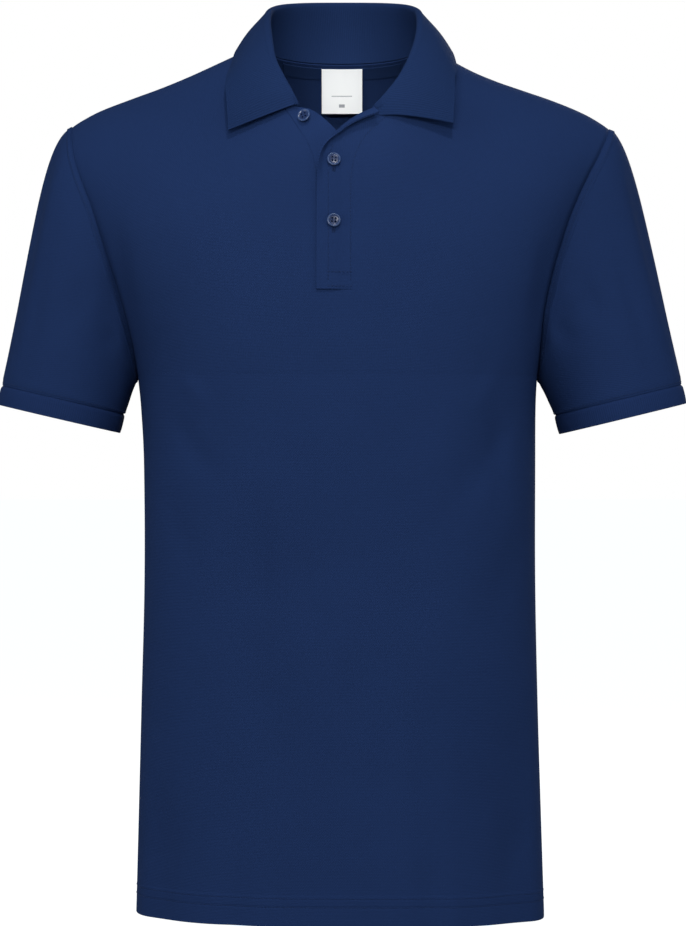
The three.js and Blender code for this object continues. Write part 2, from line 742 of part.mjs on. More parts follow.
const tapeGrid = shares(3).map((s) => shares(12).map((f) => {
  const x = mix(-tapeHalfWidth, tapeHalfWidth, f);
  const z = backNeckLine(Math.abs(x)) - tapeBelowSeam - tapeHeight * (1 - s);
  return backInside(x, z, bodyWall + tapeGap);
}));
addPiece('neck_tape', clothWall(tapeGrid, tapeWall, { flip: true }), tapeCloth);

const labelGrid = shares(6).map((s) => shares(4).map((f) => {
  const x = mix(-labelHalfWidth, labelHalfWidth, f);
  const depth = bodyWall + tapeWall + labelGap;
  const top = backInside(x, labelTop, depth);
  const behind = backInside(x, labelTop - labelHeight * (1 - s), depth);
  return new THREE.Vector3(x, mix(top.y, behind.y, labelFollow), top.z - labelHeight * (1 - s));
}));
addPiece('label', clothWall(labelGrid, labelWall, { flip: true }), labelCloth);

// Buttons

function buttonGeometry() {
  const face = new THREE.Shape();
  face.absarc(0, 0, buttonRadius, 0, Math.PI * 2);
  for (const [sx, sy] of [[1, 1], [-1, 1], [-1, -1], [1, -1]]) {
    const hole = new THREE.Path();
    hole.absarc(sx * buttonHoleOffset, sy * buttonHoleOffset, buttonHoleRadius, 0, Math.PI * 2, true);
    face.holes.push(hole);
  }
  const geometry = new THREE.ExtrudeGeometry(face, {
    depth: buttonThickness,
    bevelEnabled: false,
    curveSegments: 8,
  });
  return geometry;
}

for (const button of buttons) {
  const { here, normal } = torsoNormal('front', button.x, button.z);
  const mesh = new THREE.Mesh(buttonGeometry(), buttonResin);
  const facing = normal.clone().add(new THREE.Vector3(button.lean, 0, 0)).normalize();
  mesh.name = button.name;
  mesh.quaternion.setFromUnitVectors(new THREE.Vector3(0, 0, 1), facing);
  mesh.position.copy(here).addScaledVector(normal, button.lift);
  shirt.add(mesh);
}

export default shirt;
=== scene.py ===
"""Looks of a short-sleeved pique polo shirt, filled out with no wearer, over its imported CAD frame."""

import math
from bisect import bisect_right

import bmesh
import bpy
from mathutils import Matrix, Vector, noise


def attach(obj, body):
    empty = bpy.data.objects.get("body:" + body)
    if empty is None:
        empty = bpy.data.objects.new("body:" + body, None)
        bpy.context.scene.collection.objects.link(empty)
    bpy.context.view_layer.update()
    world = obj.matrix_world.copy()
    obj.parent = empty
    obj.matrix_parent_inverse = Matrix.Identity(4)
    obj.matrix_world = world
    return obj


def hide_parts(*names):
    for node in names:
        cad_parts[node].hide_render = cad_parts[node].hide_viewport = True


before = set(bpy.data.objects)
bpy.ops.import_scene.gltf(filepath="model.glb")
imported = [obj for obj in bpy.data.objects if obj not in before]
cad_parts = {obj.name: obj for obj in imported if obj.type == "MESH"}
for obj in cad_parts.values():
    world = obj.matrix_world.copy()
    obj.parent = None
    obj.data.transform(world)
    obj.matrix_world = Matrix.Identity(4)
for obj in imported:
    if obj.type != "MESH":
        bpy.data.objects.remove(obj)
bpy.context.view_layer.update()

# Sizes are in millimetres, as a tailor writes them, and each mesh is made in metres.
MM = 0.001

# Heights, measured from the high points of the shoulders
HEM = -738
UNDERARM = -286
SHOULDER_TIP = -73
PLACKET_FOOT = -212
HEM_SAG = 5
HEM_SAG_TOP = -560

# Walls of the cloth
BODY_WALL = 1.4
COLLAR_WALL = 1.8
CUFF_WALL = 2.0
BAND_WALL = 1.6
TAPE_WALL = 1.0
LABEL_WALL = 1.0
SEAM_GAP = 0.4
SEAM_LAP = 0.3

# The torso's section, a little squarer than an ellipse
SECTION_POWER = 2.35
RIDGE_DEPTH = 8
NECK_HALF_WIDTH = 66
SHOULDER_HALF_SPAN = 230
FOLD_CALM_DEPTH = 60
HEM_FOLD_GROWTH = 1.6

# How fine the cloth's own mesh is
CLOTH_CELL = 3.4
# Points nearer than this, in metres, are one
SAME_PLACE = 0.00001

# The rounding of cut edges, for cloth as a share of its wall, where they turn by more than an angle
EDGE_ROUNDING = 0.3
CLOTH_EDGE_ANGLE = 55
BUTTON_ROUNDING = 0.12
BUTTON_EDGE_ANGLE = 50


def table(names, rows):
    """The columns of a short table, by name."""
    return {name: [row[i] for row in rows] for i, name in enumerate(names.split())}


def named_rows(names, rows):
    """The rows of a short table, each with its values by name."""
    return [dict(zip(names.split(), row)) for row in rows]


# left and right: from the middle to the side seam or the armhole seam
# reach: the share of the full half width at which that seam lies
TORSO = table("z left right reach front back", [
    (-738, 174.5, 171.5, 1, 118, 114),
    (-660, 172.5, 169, 1, 116, 112),
    (-560, 170, 166, 1, 117, 110),
    (-458, 167.5, 164, 1, 120, 112),
    (-356, 168, 164, 1, 126, 120),
    (-310, 170.5, 164.3, 1, 128, 123),
    (-286, 173, 165.5, 1, 128, 124),
    (-262, 176, 167.5, 0.985, 128, 124),
    (-232, 182.5, 170, 0.957, 127, 124),
    (-197, 192.5, 177, 0.936, 126, 124),
    (-163, 203, 187, 0.922, 126, 124),
    (-142, 210, 195, 0.916, 126, 124),
    (-118, 219.5, 206.5, 0.912, 126, 124),
    (-97, 226, 217.5, 0.91, 126, 124),
    (-73, 229, 227, 0.91, 126, 124),
    (0, 231, 230, 0.91, 126, 124),
])

# Heights of the left and the right shoulder line, by distance from the middle
SHOULDER = table("x left right", [
    (0, 25.2, 25.2),
    (15, 24, 24),
    (30, 19.8, 19.8),
    (45, 12, 12),
    (57, 4, 4),
    (66, 0, 0),
    (107, -19, -23),
    (130, -29.5, -33),
    (153, -39, -41),
    (181, -49.3, -50.7),
    (206, -59, -61.2),
    (222, -67.5, -70.5),
    (230, -73, -77),
    (245, -86, -92),
])

# How the cloth falls from that line to its full depth: over what height, and how roundly
FALL = {
    "front": {"middle": 280, "armhole": 124, "power": 1.8},
    "back": {"middle": 110, "armhole": 120, "power": 1.5},
}

# The front's inner edges: the placket seams, and above them the neckline up to the shoulder
FRONT_EDGE = table("z left right", [
    (-286, -20.7, 8.2),
    (-160, -20.7, 8.2),
    (-129, -20.7, 8.2),
    (-109, -23, 10.6),
    (-94, -29, 17.4),
    (-79.5, -38, 29),
    (-69, -44.7, 39),
    (-59, -51, 48),
    (-48, -58, 55.5),
    (-34, -63.5, 62),
    (-17.5, -66.5, 66),
    (0, -66, 66),
])

BACK_NECK = table("x z", [
    (0, -11.5),
    (25, -11.3),
    (45, -10.4),
    (58, -8.6),
    (64, -3.5),
    (66, 0),
])

# The largest folds, which the CAD solids have too: troughs that lean from top to bottom
FOLDS = named_rows("side x lean top bottom width depth", [
    ("front", -92, 22, -330, -600, 26, 3.0),
    ("front", 118, 8, -430, -738, 30, 3.4),
    ("front", -118, -6, -520, -738, 24, 2.8),
    ("front", 128, -34, -285, -420, 18, 3.2),
    ("back", -58, 14, -250, -650, 26, 4.6),
    ("back", 66, -10, -280, -700, 28, 4.2),
    ("back", 4, 6, -360, -738, 34, 3.4),
    ("back", -128, 30, -280, -470, 20, 3.6),
    ("back", 126, -26, -290, -500, 20, 3.2),
])

# Softer creases, each from one place to another. A negative depth is a ridge.
CREASE_STRENGTH = 1.7
CREASES = {
    "front": named_rows("start end width depth", [
        ((-150, -300), (-96, -388), 10, 1.5),
        ((-140, -278), (-104, -322), 7, -0.9),
        ((-158, -352), (-112, -470), 12, 1.1),
        ((-72, -470), (-64, -640), 12, 1.0),
        ((-44, -560), (-50, -738), 14, -0.9),
        ((150, -296), (98, -402), 11, 1.7),
        ((138, -262), (104, -330), 8, -1.0),
        ((156, -380), (120, -520), 14, 1.4),
        ((64, -520), (76, -690), 14, 0.9),
        ((30, -600), (34, -738), 15, 0.8),
        ((-12, -236), (-16, -330), 9, 0.6),
        ((146, -640), (132, -738), 13, 1.4),
        ((-150, -610), (-146, -738), 12, 1.1),
        ((-6, -420), (10, -560), 16, -0.7),
        ((144, -440), (148, -960), 22, 6.5),
        ((-154, -470), (-150, -960), 18, 4.2),
        ((-64, -360), (-66, -540), 10, 1.7),
        ((-190, -140), (-174, -270), 8, 2.4),
        ((174, -150), (157, -276), 8, 2.4),
        ((-44, -560), (-40, -690), 9, 1.4),
        ((-92, -600), (-84, -900), 15, 2.2),
        ((92, -640), (98, -900), 12, -1.5),
        ((128, -300), (132, -420), 9, 1.8),
        ((34, -560), (30, -660), 10, 1.0),
        ((72, -600), (74, -840), 10, 1.3),
    ]),
    "back": named_rows("start end width depth", [
        ((-150, -292), (-84, -420), 12, 2.2),
        ((-146, -262), (-108, -330), 9, -1.4),
        ((-30, -120), (-44, -230), 14, 1.2),
        ((26, -140), (40, -250), 12, 1.3),
        ((148, -288), (92, -396), 12, 2.1),
        ((140, -330), (96, -470), 13, -1.4),
        ((-96, -480), (-92, -700), 15, 1.8),
        ((100, -500), (98, -738), 16, 1.9),
        ((-24, -430), (-30, -690), 14, -1.5),
        ((36, -400), (34, -640), 13, 1.4),
        ((-140, -560), (-134, -738), 12, 1.4),
        ((142, -590), (136, -738), 12, -1.2),
    ]),
}
# The cloth sinks in along each armhole seam, most under the arm, by share of the way up
ARMHOLE_VALLEY = table("height left right", [
    (-0.35, 0, 0),
    (0, 0.6, 0.5),
    (0.14, 2.0, 1.4),
    (0.3, 2.6, 2.2),
    (0.45, 1.4, 2.2),
    (0.6, 0.5, 1.2),
    (0.78, 0.1, 0.4),
    (1, 0, 0),
])
VALLEY_WIDTH = {"left": 13, "right": 10}
VALLEY_ON_SLEEVE = 9
# Right at the seam lies a narrow ditch as well, which shows as a thin dark line
ARMHOLE_DITCH = table("height left right", [
    (-0.1, 0, 0),
    (-0.02, 0.2, 0.2),
    (0.05, 1.4, 2.0),
    (0.14, 3.6, 4.8),
    (0.36, 3.8, 5.6),
    (0.52, 2.6, 5),
    (0.68, 1.0, 3.6),
    (0.84, 0.5, 2.6),
    (1, 0.4, 1.8),
])
DITCH_WIDTH = {"body": 1.8, "sleeve": 2.0}
SWELL_SIZE = 74
SWELL_DEPTH = 0.9
# Front and back take their swells from places this far off the middle
SWELL_APART = 100

# Sleeves. The crown is the way that a sleeve leaves the top of its armhole.
SLEEVES = {
    "left": {"sign": -1, "outer": (-289.5, 4, -292.5), "inner": (-184.5, 4, -317), "crown": (-29, 0, -13)},
    "right": {"sign": 1, "outer": (289.5, 4, -291.5), "inner": (180.5, 4, -318), "crown": (17, 0, -14)},
}
SLEEVE_HALF_DEPTH = 54
SLEEVE_SPACING = 0.9
SLEEVE_CROWN_POWER = 1.5
UNDERARM_RUN = {"across": 0.36, "swell": 0.1, "down": -0.93}
ARMHOLE_REACH = {"underarm": 0.3, "crown": 0.145}
CUFF_REACH = {"underarm": 0.3, "crown": 0.5}
SLEEVE_TUCK = {"along": 2.4, "inward": BODY_WALL + 0.3}
SLEEVE_SWELL = {"depth": 0.8, "pitch": 2.1}
SLEEVE_STEPS = 72
SLEEVE_START_FINE = 1.45
ALLOWANCE_WIDTH = 4.6
ALLOWANCE_STEP = 0.9
ALLOWANCE_RISE = 0.8
CUFF_DEPTH = 16.5
CUFF_STEPS = 12
CUFF_FINE = 1.3
CUFF_TUCK = {"along": -2.2, "scale": 0.966}
CUFF_PROFILE = table("along scale", [
    (0, 0.976),
    (0.08, 0.994),
    (0.2, 1.0),
    (0.7, 1.0),
    (1, 0.992),
])
# Each sleeve is drawn in a little where its cuff is sewn on
CUFF_SEAM_DEPTH = 0.8
CUFF_SEAM_WIDTH = 0.009

# Creases of the sleeves, by share of the way round from the underarm over the front, and by share
# of the way down from the armhole
SLEEVE_CREASES = {
    "left": named_rows("start end width depth", [
        ((0.1, 0.0), (0.18, 0.6), 0.02, 1.6),
        ((0.15, 0.0), (0.24, 0.5), 0.02, -1.2),
        ((0.2, 0.1), (0.3, 0.8), 0.026, 1.6),
        ((0.45, -0.3), (0.44, 1.0), 0.045, 4.4),
        ((0.35, 0.4), (0.37, 1.05), 0.02, 1.5),
        ((0.93, 0.05), (0.78, 0.6), 0.03, 2.4),
        ((0.72, 0.3), (0.68, 0.95), 0.03, 1.6),
        ((0.6, 0.2), (0.58, 0.8), 0.026, -1.2),
    ]),
    "right": named_rows("start end width depth", [
        ((0.12, 0.0), (0.19, 0.62), 0.02, 1.7),
        ((0.16, 0.0), (0.24, 0.42), 0.02, -1.2),
        ((0.22, 0.12), (0.27, 0.7), 0.024, 1.8),
        ((0.45, -0.3), (0.45, 1.05), 0.04, 4.0),
        ((0.33, 0.25), (0.35, 1.1), 0.024, 2.0),
        ((0.94, 0.06), (0.82, 0.66), 0.03, 2.2),
        ((0.7, 0.24), (0.74, 0.86), 0.03, 1.7),
        ((0.62, 0.4), (0.6, 0.94), 0.026, -1.1),
    ]),
}

# Collar: the line of its roll and of its outer edge, by share of the neck seam's length
COLLAR_LEFT = named_rows("share roll edge", [
    (0, (-36.8, -86, -60.5), (-93.6, -90, -84.0)),
    (0.06, (-44, -83, -48.6), (-94.6, -86, -71)),
    (0.1, (-50, -76, -37.5), (-95.6, -79, -58)),
    (0.15, (-58, -62, -20), (-97, -62, -40)),
])
COLLAR_RIGHT = named_rows("share roll edge", [
    (0, (27, -88, -63.2), (91.7, -92, -78.4)),
    (0.06, (37, -84, -53), (92.6, -87, -66)),
    (0.1, (48, -77, -39), (93.4, -80, -54)),
    (0.15, (58, -62, -20), (94.4, -62, -38)),
])
COLLAR_BACK = named_rows("share roll edge", [
    (0.205, (63.5, -38, 2), (95, -36, -24.5)),
    (0.27, (65, -6, 22), (90.6, 5, -6.6)),
    (0.34, (60, 28, 33), (81, 49, -13)),
    (0.42, (41, 61, 40), (53, 79, -15)),
    (0.5, (0, 80, 43), (0, 93, -17)),
])
COLLAR_MIDDLE = 1.5
ROLL_RADIUS = 4.2
ROLL_WIDTH = 0.94
STAND_BULGE = 1.5
FALL_BULGE = {"outward": 1.5, "upward": 1.8}
# Near its two ends the collar folds flatter, and its leaf hangs from the fold
COLLAR_END = 0.075
END_ROLL_RADIUS = 1.9
END_DROOP = {"left": 1.2, "right": 8.7}
DROOP_START = 0.008
DROOP_RUN = 0.5
COLLAR_SEAM_GAP = 0.64
NECK_SEAM_BOTTOM = -49

# The top edge of each placket band, on which the collar ends are sewn
UNDER_BAND_TOP = [(-37.5, -62), (-44.5, -60.8)]
TOP_BAND_TOP = [(29, -66.3), (38.5, -63.3)]

# Placket bands: the line where each is sewn on and the line that it ends or turns back at
UNDER_BAND = table("seam_x seam_z free_x free_z", [
    (-20.3, -211.5, 7.4, -211.5),
    (-20.3, -170, 7.4, -170),
    (-20.3, -129, 7.4, -126),
    (-22.6, -109, 5.5, -103),
    (-28.5, -94, -3.5, -86),
    (-37.4, -79.5, -17.5, -72),
    (-48.6, -62.2, -27, -65.8),
])
TOP_BAND = table("seam_x seam_z fold_x fold_z flap turn", [
    (9.2, -217, -13.5, -217, 7.5, 0),
    (9.2, -175, -13.5, -175, 7.5, 0),
    (9.2, -135, -13.5, -135, 7.6, 8),
    (9.8, -121, -13.5, -121, 7.6, 34),
    (12, -109, -13, -107.5, 7.8, 62),
    (15.4, -99.5, -9.4, -98, 7.8, 90),
    (20, -91.5, -2.6, -89, 8, 126),
    (31.5, -78.5, 12.4, -78, 11, 148),
    (47.2, -65.2, 27.6, -70.6, 13, 156),
])
TOP_BAND_LIFT = BAND_WALL + 0.3
# The share of the turned-back edge that is taken up by the bend of its fold
LAPEL_BEND = 0.5
# The step, as a share of the band, over which the heading of its fold is taken
FOLD_STEP = 0.02
# The sewn edge of the top band, from under the front's edge up to its own height, by share of its width
BAND_SEAM = table("across lift", [
    (-0.07, -1.9),
    (-0.025, -0.5),
    (0.0, -0.05),
    (0.03, 0.04),
    (0.12, 0.14),
    (0.3, 0.5),
    (0.6, 1.4),
    (0.85, 1.9),
    (1.0, 1.9),
])
UNDER_BAND_SEAM = table("across lift", [
    (-0.08, -1.9),
    (-0.025, -0.4),
    (0.0, -0.02),
    (0.03, 0.04),
    (1.0, 0.0),
])

# Buttons
BUTTON_HOLE_RADIUS = 0.85
BUTTON_HOLE_OFFSET = 1.35
BUTTONS = named_rows("name x z lift lean", [
    ("button_top", -30.7, -73.5, 2.2, -0.35),
    ("button_middle", -6.9, -110.5, BAND_WALL + 0.7, 0),
    ("button_bottom", -6.9, -161, BAND_WALL + 0.7, 0),
])

# Neck tape and label, inside the back
TAPE_HEIGHT = 9
TAPE_HALF_WIDTH = 52
TAPE_BELOW_SEAM = 2
TAPE_GAP = 0.25
TAPE_STEPS = {"up": 4, "across": 48}
LABEL_HALF_WIDTH = 17.8
LABEL_HEIGHT = 38
LABEL_TOP = -13
LABEL_GAP = 1.2
# The share of the back's slope that the hanging label follows
LABEL_FOLLOW = 0.3
LABEL_STEPS = {"up": 18, "across": 16}


# The form of the torso

def mix(a, b, share):
    return a + (b - a) * share


def clamp(value, low, high):
    return max(low, min(high, value))


def sign_of(value):
    return (value > 0) - (value < 0)


def shares(count):
    return [i / count for i in range(count + 1)]


def ease(share):
    return share * share * (3 - 2 * share)


def side_of(x):
    return "left" if x < 0 else "right"


def eased_shares(count, power):
    """Shares from 0 to 1 that lie closer together at the start."""
    return [share ** power for share in shares(count)]


def smooth_line(columns, by, name):
    """A smooth line through a table: the column `name` at any value of the column `by`."""
    at, value = columns[by], columns[name]
    last = len(at) - 1
    slopes = []
    for i in range(last + 1):
        before, after = max(i - 1, 0), min(i + 1, last)
        slopes.append((value[after] - value[before]) / (at[after] - at[before]))

    def line(place):
        place = clamp(place, at[0], at[last])
        i = min(max(bisect_right(at, place) - 1, 0), last - 1)
        span = at[i + 1] - at[i]
        f = (place - at[i]) / span
        bend = f * (1 - f) * span
        return mix(value[i], value[i + 1], ease(f)) + bend * ((1 - f) * slopes[i] - f * slopes[i + 1])

    return line


def smooth_lines(columns, by):
    """Such a line through each other column of the table, by name."""
    return {name: smooth_line(columns, by, name) for name in columns if name != by}


torso_at = smooth_lines(TORSO, "z")
shoulder_at = smooth_lines(SHOULDER, "x")
front_edge = smooth_lines(FRONT_EDGE, "z")
back_neck_line = smooth_line(BACK_NECK, "x", "z")
valley_at = smooth_lines(ARMHOLE_VALLEY, "height")
ditch_at = smooth_lines(ARMHOLE_DITCH, "height")


def shoulder_line(x):
    return shoulder_at[side_of(x)](abs(x))


def full_half_width(z, x):
    return torso_at[side_of(x)](z) / min(torso_at["reach"](z), 1)


def seam_turn(z, sign):
    """The turn round the section at which the side seam or the armhole seam lies."""
    return sign * math.asin(min(torso_at["reach"](z), 1) ** (SECTION_POWER / 2))


def turn_of(x, z):
    share = min(abs(x) / full_half_width(z, x), 1)
    return sign_of(x) * math.asin(share ** (SECTION_POWER / 2))


def width_at(turn, z):
    return sign_of(turn) * full_half_width(z, turn) * abs(math.sin(turn)) ** (2 / SECTION_POWER)


def fold_depth(side, x, z):
    depth = 0
    for fold in FOLDS:
        along = (fold["top"] - z) / (fold["top"] - fold["bottom"])
        to_hem = fold["bottom"] <= HEM
        if fold["side"] == side and along > 0 and (along < 1 or to_hem):
            across = (x - fold["x"] - fold["lean"] * along) / fold["width"]
            grown = min(along * HEM_FOLD_GROWTH, 1) / 2 if to_hem else along
            depth += fold["depth"] * math.sin(math.pi * grown) ** 2 * math.exp(-across * across)
    return depth


def crease_depth(creases, a, b):
    """The depth at the place (a, b) of soft creases that each run from a start to an end."""
    depth = 0
    for crease in creases:
        (a0, b0), (a1, b1) = crease["start"], crease["end"]
        length = math.hypot(a1 - a0, b1 - b0)
        along = ((a - a0) * (a1 - a0) + (b - b0) * (b1 - b0)) / length ** 2
        if 0 < along < 1:
            across = ((a - a0) * (b1 - b0) - (b - b0) * (a1 - a0)) / (length * crease["width"])
            if abs(across) < 3:
                depth += crease["depth"] * math.sin(math.pi * along) ** 2 * math.exp(-across * across)
    return depth


def seam_depths(x, z):
    """How far the cloth sinks in right at the armhole seam of that side: broadly, and narrowly."""
    height = (z - UNDERARM) / (SHOULDER_TIP - UNDERARM)
    if height >= 1:
        return 0, 0
    side = side_of(x)
    return valley_at[side](height), ditch_at[side](height)


def fading(distance, width):
    """From 1 at no distance to 0 far away."""
    away = distance / width
    return math.exp(-away * away) if away < 4 else 0


def valley_relief(x, z):
    """The depth of the armhole's valley and ditch on the body, beside the seam."""
    side = side_of(x)
    away = max(torso_at[side](z) - abs(x), 0)
    valley, ditch = seam_depths(x, z)
    return valley * fading(away, VALLEY_WIDTH[side]) + ditch * fading(away, DITCH_WIDTH["body"])


def swell_depth(x, y, z):
    """The slow unevenness that any worn cloth has."""
    place = Vector((x, y, z * 0.45)) / SWELL_SIZE
    return SWELL_DEPTH * (noise.noise(place) + 0.4 * noise.noise(place * 2.3))


def torso_point(side, turn, z):
    """A point of the torso's outer face, at a turn round its section."""
    x = width_at(turn, z)
    sign = -1 if side == "front" else 1
    shape = FALL[side]
    full = torso_at[side](z) * abs(math.cos(turn)) ** (2 / SECTION_POWER)
    height = mix(shape["middle"], shape["armhole"], min(abs(x) / SHOULDER_HALF_SPAN, 1))
    drop = clamp((shoulder_line(x) - z) / height, 0, 1)
    grown = (1 - (1 - drop) ** shape["power"]) ** (1 / shape["power"])
    y = mix(RIDGE_DEPTH, sign * full, grown)
    calm = min(full / FOLD_CALM_DEPTH, 1)
    relief = fold_depth(side, x, z) + CREASE_STRENGTH * crease_depth(CREASES[side], x, z)
    relief += swell_depth(x, sign * SWELL_APART, z) * min(drop * 2, 1) + valley_relief(x, z)
    return Vector((x, y - sign * calm * relief - sign * SEAM_LAP / 2, z))


def sag_at(x, z):
    """The hem hangs a little lower at the right side."""
    low = clamp((HEM_SAG_TOP - z) / (HEM_SAG_TOP - HEM), 0, 1)
    return HEM_SAG * low * max(x / torso_at["right"](z), 0) ** 2


def torso_point_at_x(side, x, z):
    return torso_point(side, turn_of(x, z), z)


def torso_normal(side, x, z):
    """A place on the torso, and its outward direction there."""
    step = 2
    here = torso_point_at_x(side, x, z)
    across = torso_point_at_x(side, x + step, z) - torso_point_at_x(side, x - step, z)
    up = torso_point_at_x(side, x, z + step) - torso_point_at_x(side, x, z - step)
    normal = across.cross(up).normalized()
    outward = -1 if side == "front" else 1
    return here, normal * (sign_of(normal.y) * outward or 1)


def panel_point(side, sign, inner_edge, across, level):
    """A point of a panel from its outer seam to its inner edge. A level is a height up to the
    underarm, and above it the share, from 0 to 1, of the way up the armhole."""
    if level < 0:
        turn = mix(seam_turn(level, sign), turn_of(inner_edge(level), level), across)
        return torso_point(side, turn, level - sag_at(width_at(turn, level), level))
    outer_z = mix(UNDERARM, SHOULDER_TIP, level)
    inner_z = mix(UNDERARM, 0, level)
    turn = mix(seam_turn(outer_z, sign), turn_of(inner_edge(inner_z), inner_z), across)
    top_turn = mix(seam_turn(SHOULDER_TIP, sign), turn_of(inner_edge(0), 0), across)
    straight_top = mix(SHOULDER_TIP, 0, across)
    top = straight_top
    for _ in range(5):
        top = shoulder_line(width_at(top_turn, top))
    z = mix(outer_z, inner_z, across) + level * (top - straight_top)
    return torso_point(side, turn, z)


# Grids of the pieces. The first row of a panel is its hem, and its first column its left seam.

UNDERARM_ROW = round((UNDERARM - HEM) / CLOTH_CELL)
OUTER_COLUMNS = 56
OUTER_FINE = 1.3
PLACKET_COLUMNS = 8
BACK_NECK_COLUMNS = 34
EXTRA_SHOULDER_ROWS = 6
SHOULDER_FINE = 1.12


def body_levels():
    """Heights from the hem to the underarm, then shares of the armhole, with the placket's foot."""
    foot = 1 - PLACKET_FOOT / UNDERARM
    steps_to_foot = round(-UNDERARM * foot / CLOTH_CELL)
    steps_above = round(-UNDERARM * (1 - foot) / CLOTH_CELL) + EXTRA_SHOULDER_ROWS
    levels = [mix(HEM, UNDERARM, s) for s in shares(UNDERARM_ROW)[:-1]]
    levels += [foot * s for s in shares(steps_to_foot)[:-1]]
    levels += [1 - (1 - foot) * (1 - s) ** SHOULDER_FINE for s in shares(steps_above)]
    return levels, UNDERARM_ROW + steps_to_foot


LEVELS, FOOT_ROW = body_levels()
SIDE_SHARES = eased_shares(OUTER_COLUMNS, OUTER_FINE)


def inner_height(level):
    return level if level < 0 else mix(UNDERARM, 0, level)


def neck_places(count):
    """Distances from the middle along the back neck, closer together at its ends."""
    return [NECK_HALF_WIDTH * math.sin((s - 0.5) * math.pi) for s in shares(count)[1:-1]]


def front_grid():
    rows = []
    for level in LEVELS:
        z = inner_height(level)
        left = [panel_point("front", -1, front_edge["left"], s, level) for s in SIDE_SHARES]
        right = [panel_point("front", 1, front_edge["right"], s, level) for s in SIDE_SHARES]
        left_x, right_x = front_edge["left"](z), front_edge["right"](z)
        middle_x = [mix(left_x, right_x, s) for s in shares(PLACKET_COLUMNS)[1:-1]]
        middle = [torso_point_at_x("front", x, z) for x in middle_x]
        rows.append(left + middle + right[::-1])
    return rows


def back_grid():
    rows = []
    for level in LEVELS:
        z = inner_height(level)
        left = [panel_point("back", -1, lambda _: -NECK_HALF_WIDTH, s, level) for s in SIDE_SHARES]
        right = [panel_point("back", 1, lambda _: NECK_HALF_WIDTH, s, level) for s in SIDE_SHARES]
        middle = []
        for x in neck_places(BACK_NECK_COLUMNS):
            dip = 0 if level < 0 else level ** 3 * back_neck_line(abs(x))
            middle.append(torso_point_at_x("back", x, z + dip))
        rows.append(left + middle + right[::-1])
    return rows


def outside_placket_slit(r, c):
    return r < FOOT_ROW or not OUTER_COLUMNS <= c < OUTER_COLUMNS + PLACKET_COLUMNS


def lengths_along(points):
    """How far along a line each of its points lies."""
    lengths = [0]
    for before, after in zip(points, points[1:]):
        lengths.append(lengths[-1] + (after - before).length)
    return lengths


def armhole_loop(side, front, back):
    """Up the front's edge from the underarm and down the back's."""
    column = 0 if side == "left" else -1
    up = [row[column] for row in front[UNDERARM_ROW:]]
    down = [row[column] for row in back[UNDERARM_ROW:]][::-1]
    top = (up[-1] + down[0]) / 2
    foot = (up[0] + down[-1]) / 2
    return [foot] + up[1:-1] + [top] + down[1:-1]


def armhole_rise(depths, distance, along):
    """The sleeve rises out of the valley, and first runs over the turned seam allowance."""
    valley, ditch = depths
    out_of_valley = valley * (1 - fading(distance, VALLEY_ON_SLEEVE)) * (1 - along) ** 2
    out_of_valley += ditch * (1 - fading(distance, DITCH_WIDTH["sleeve"])) * (1 - along) ** 2
    over_allowance = ALLOWANCE_RISE * clamp((ALLOWANCE_WIDTH - distance) / ALLOWANCE_STEP, 0, 1)
    return out_of_valley + over_allowance


def sleeve_relief(side, around, along):
    """Depth of a sleeve's creases, fading out at its two seams."""
    creases = SLEEVE_CREASES[side]
    fade = math.sin(math.pi * clamp(along, 0, 1)) ** 0.5
    depth = crease_depth(creases, around, along)
    place = Vector((math.cos(math.tau * around), math.sin(math.tau * around), along))
    depth += SLEEVE_SWELL["depth"] * noise.noise(place * SLEEVE_SWELL["pitch"])
    return fade * depth + CUFF_SEAM_DEPTH * fading(1 - along, CUFF_SEAM_WIDTH)


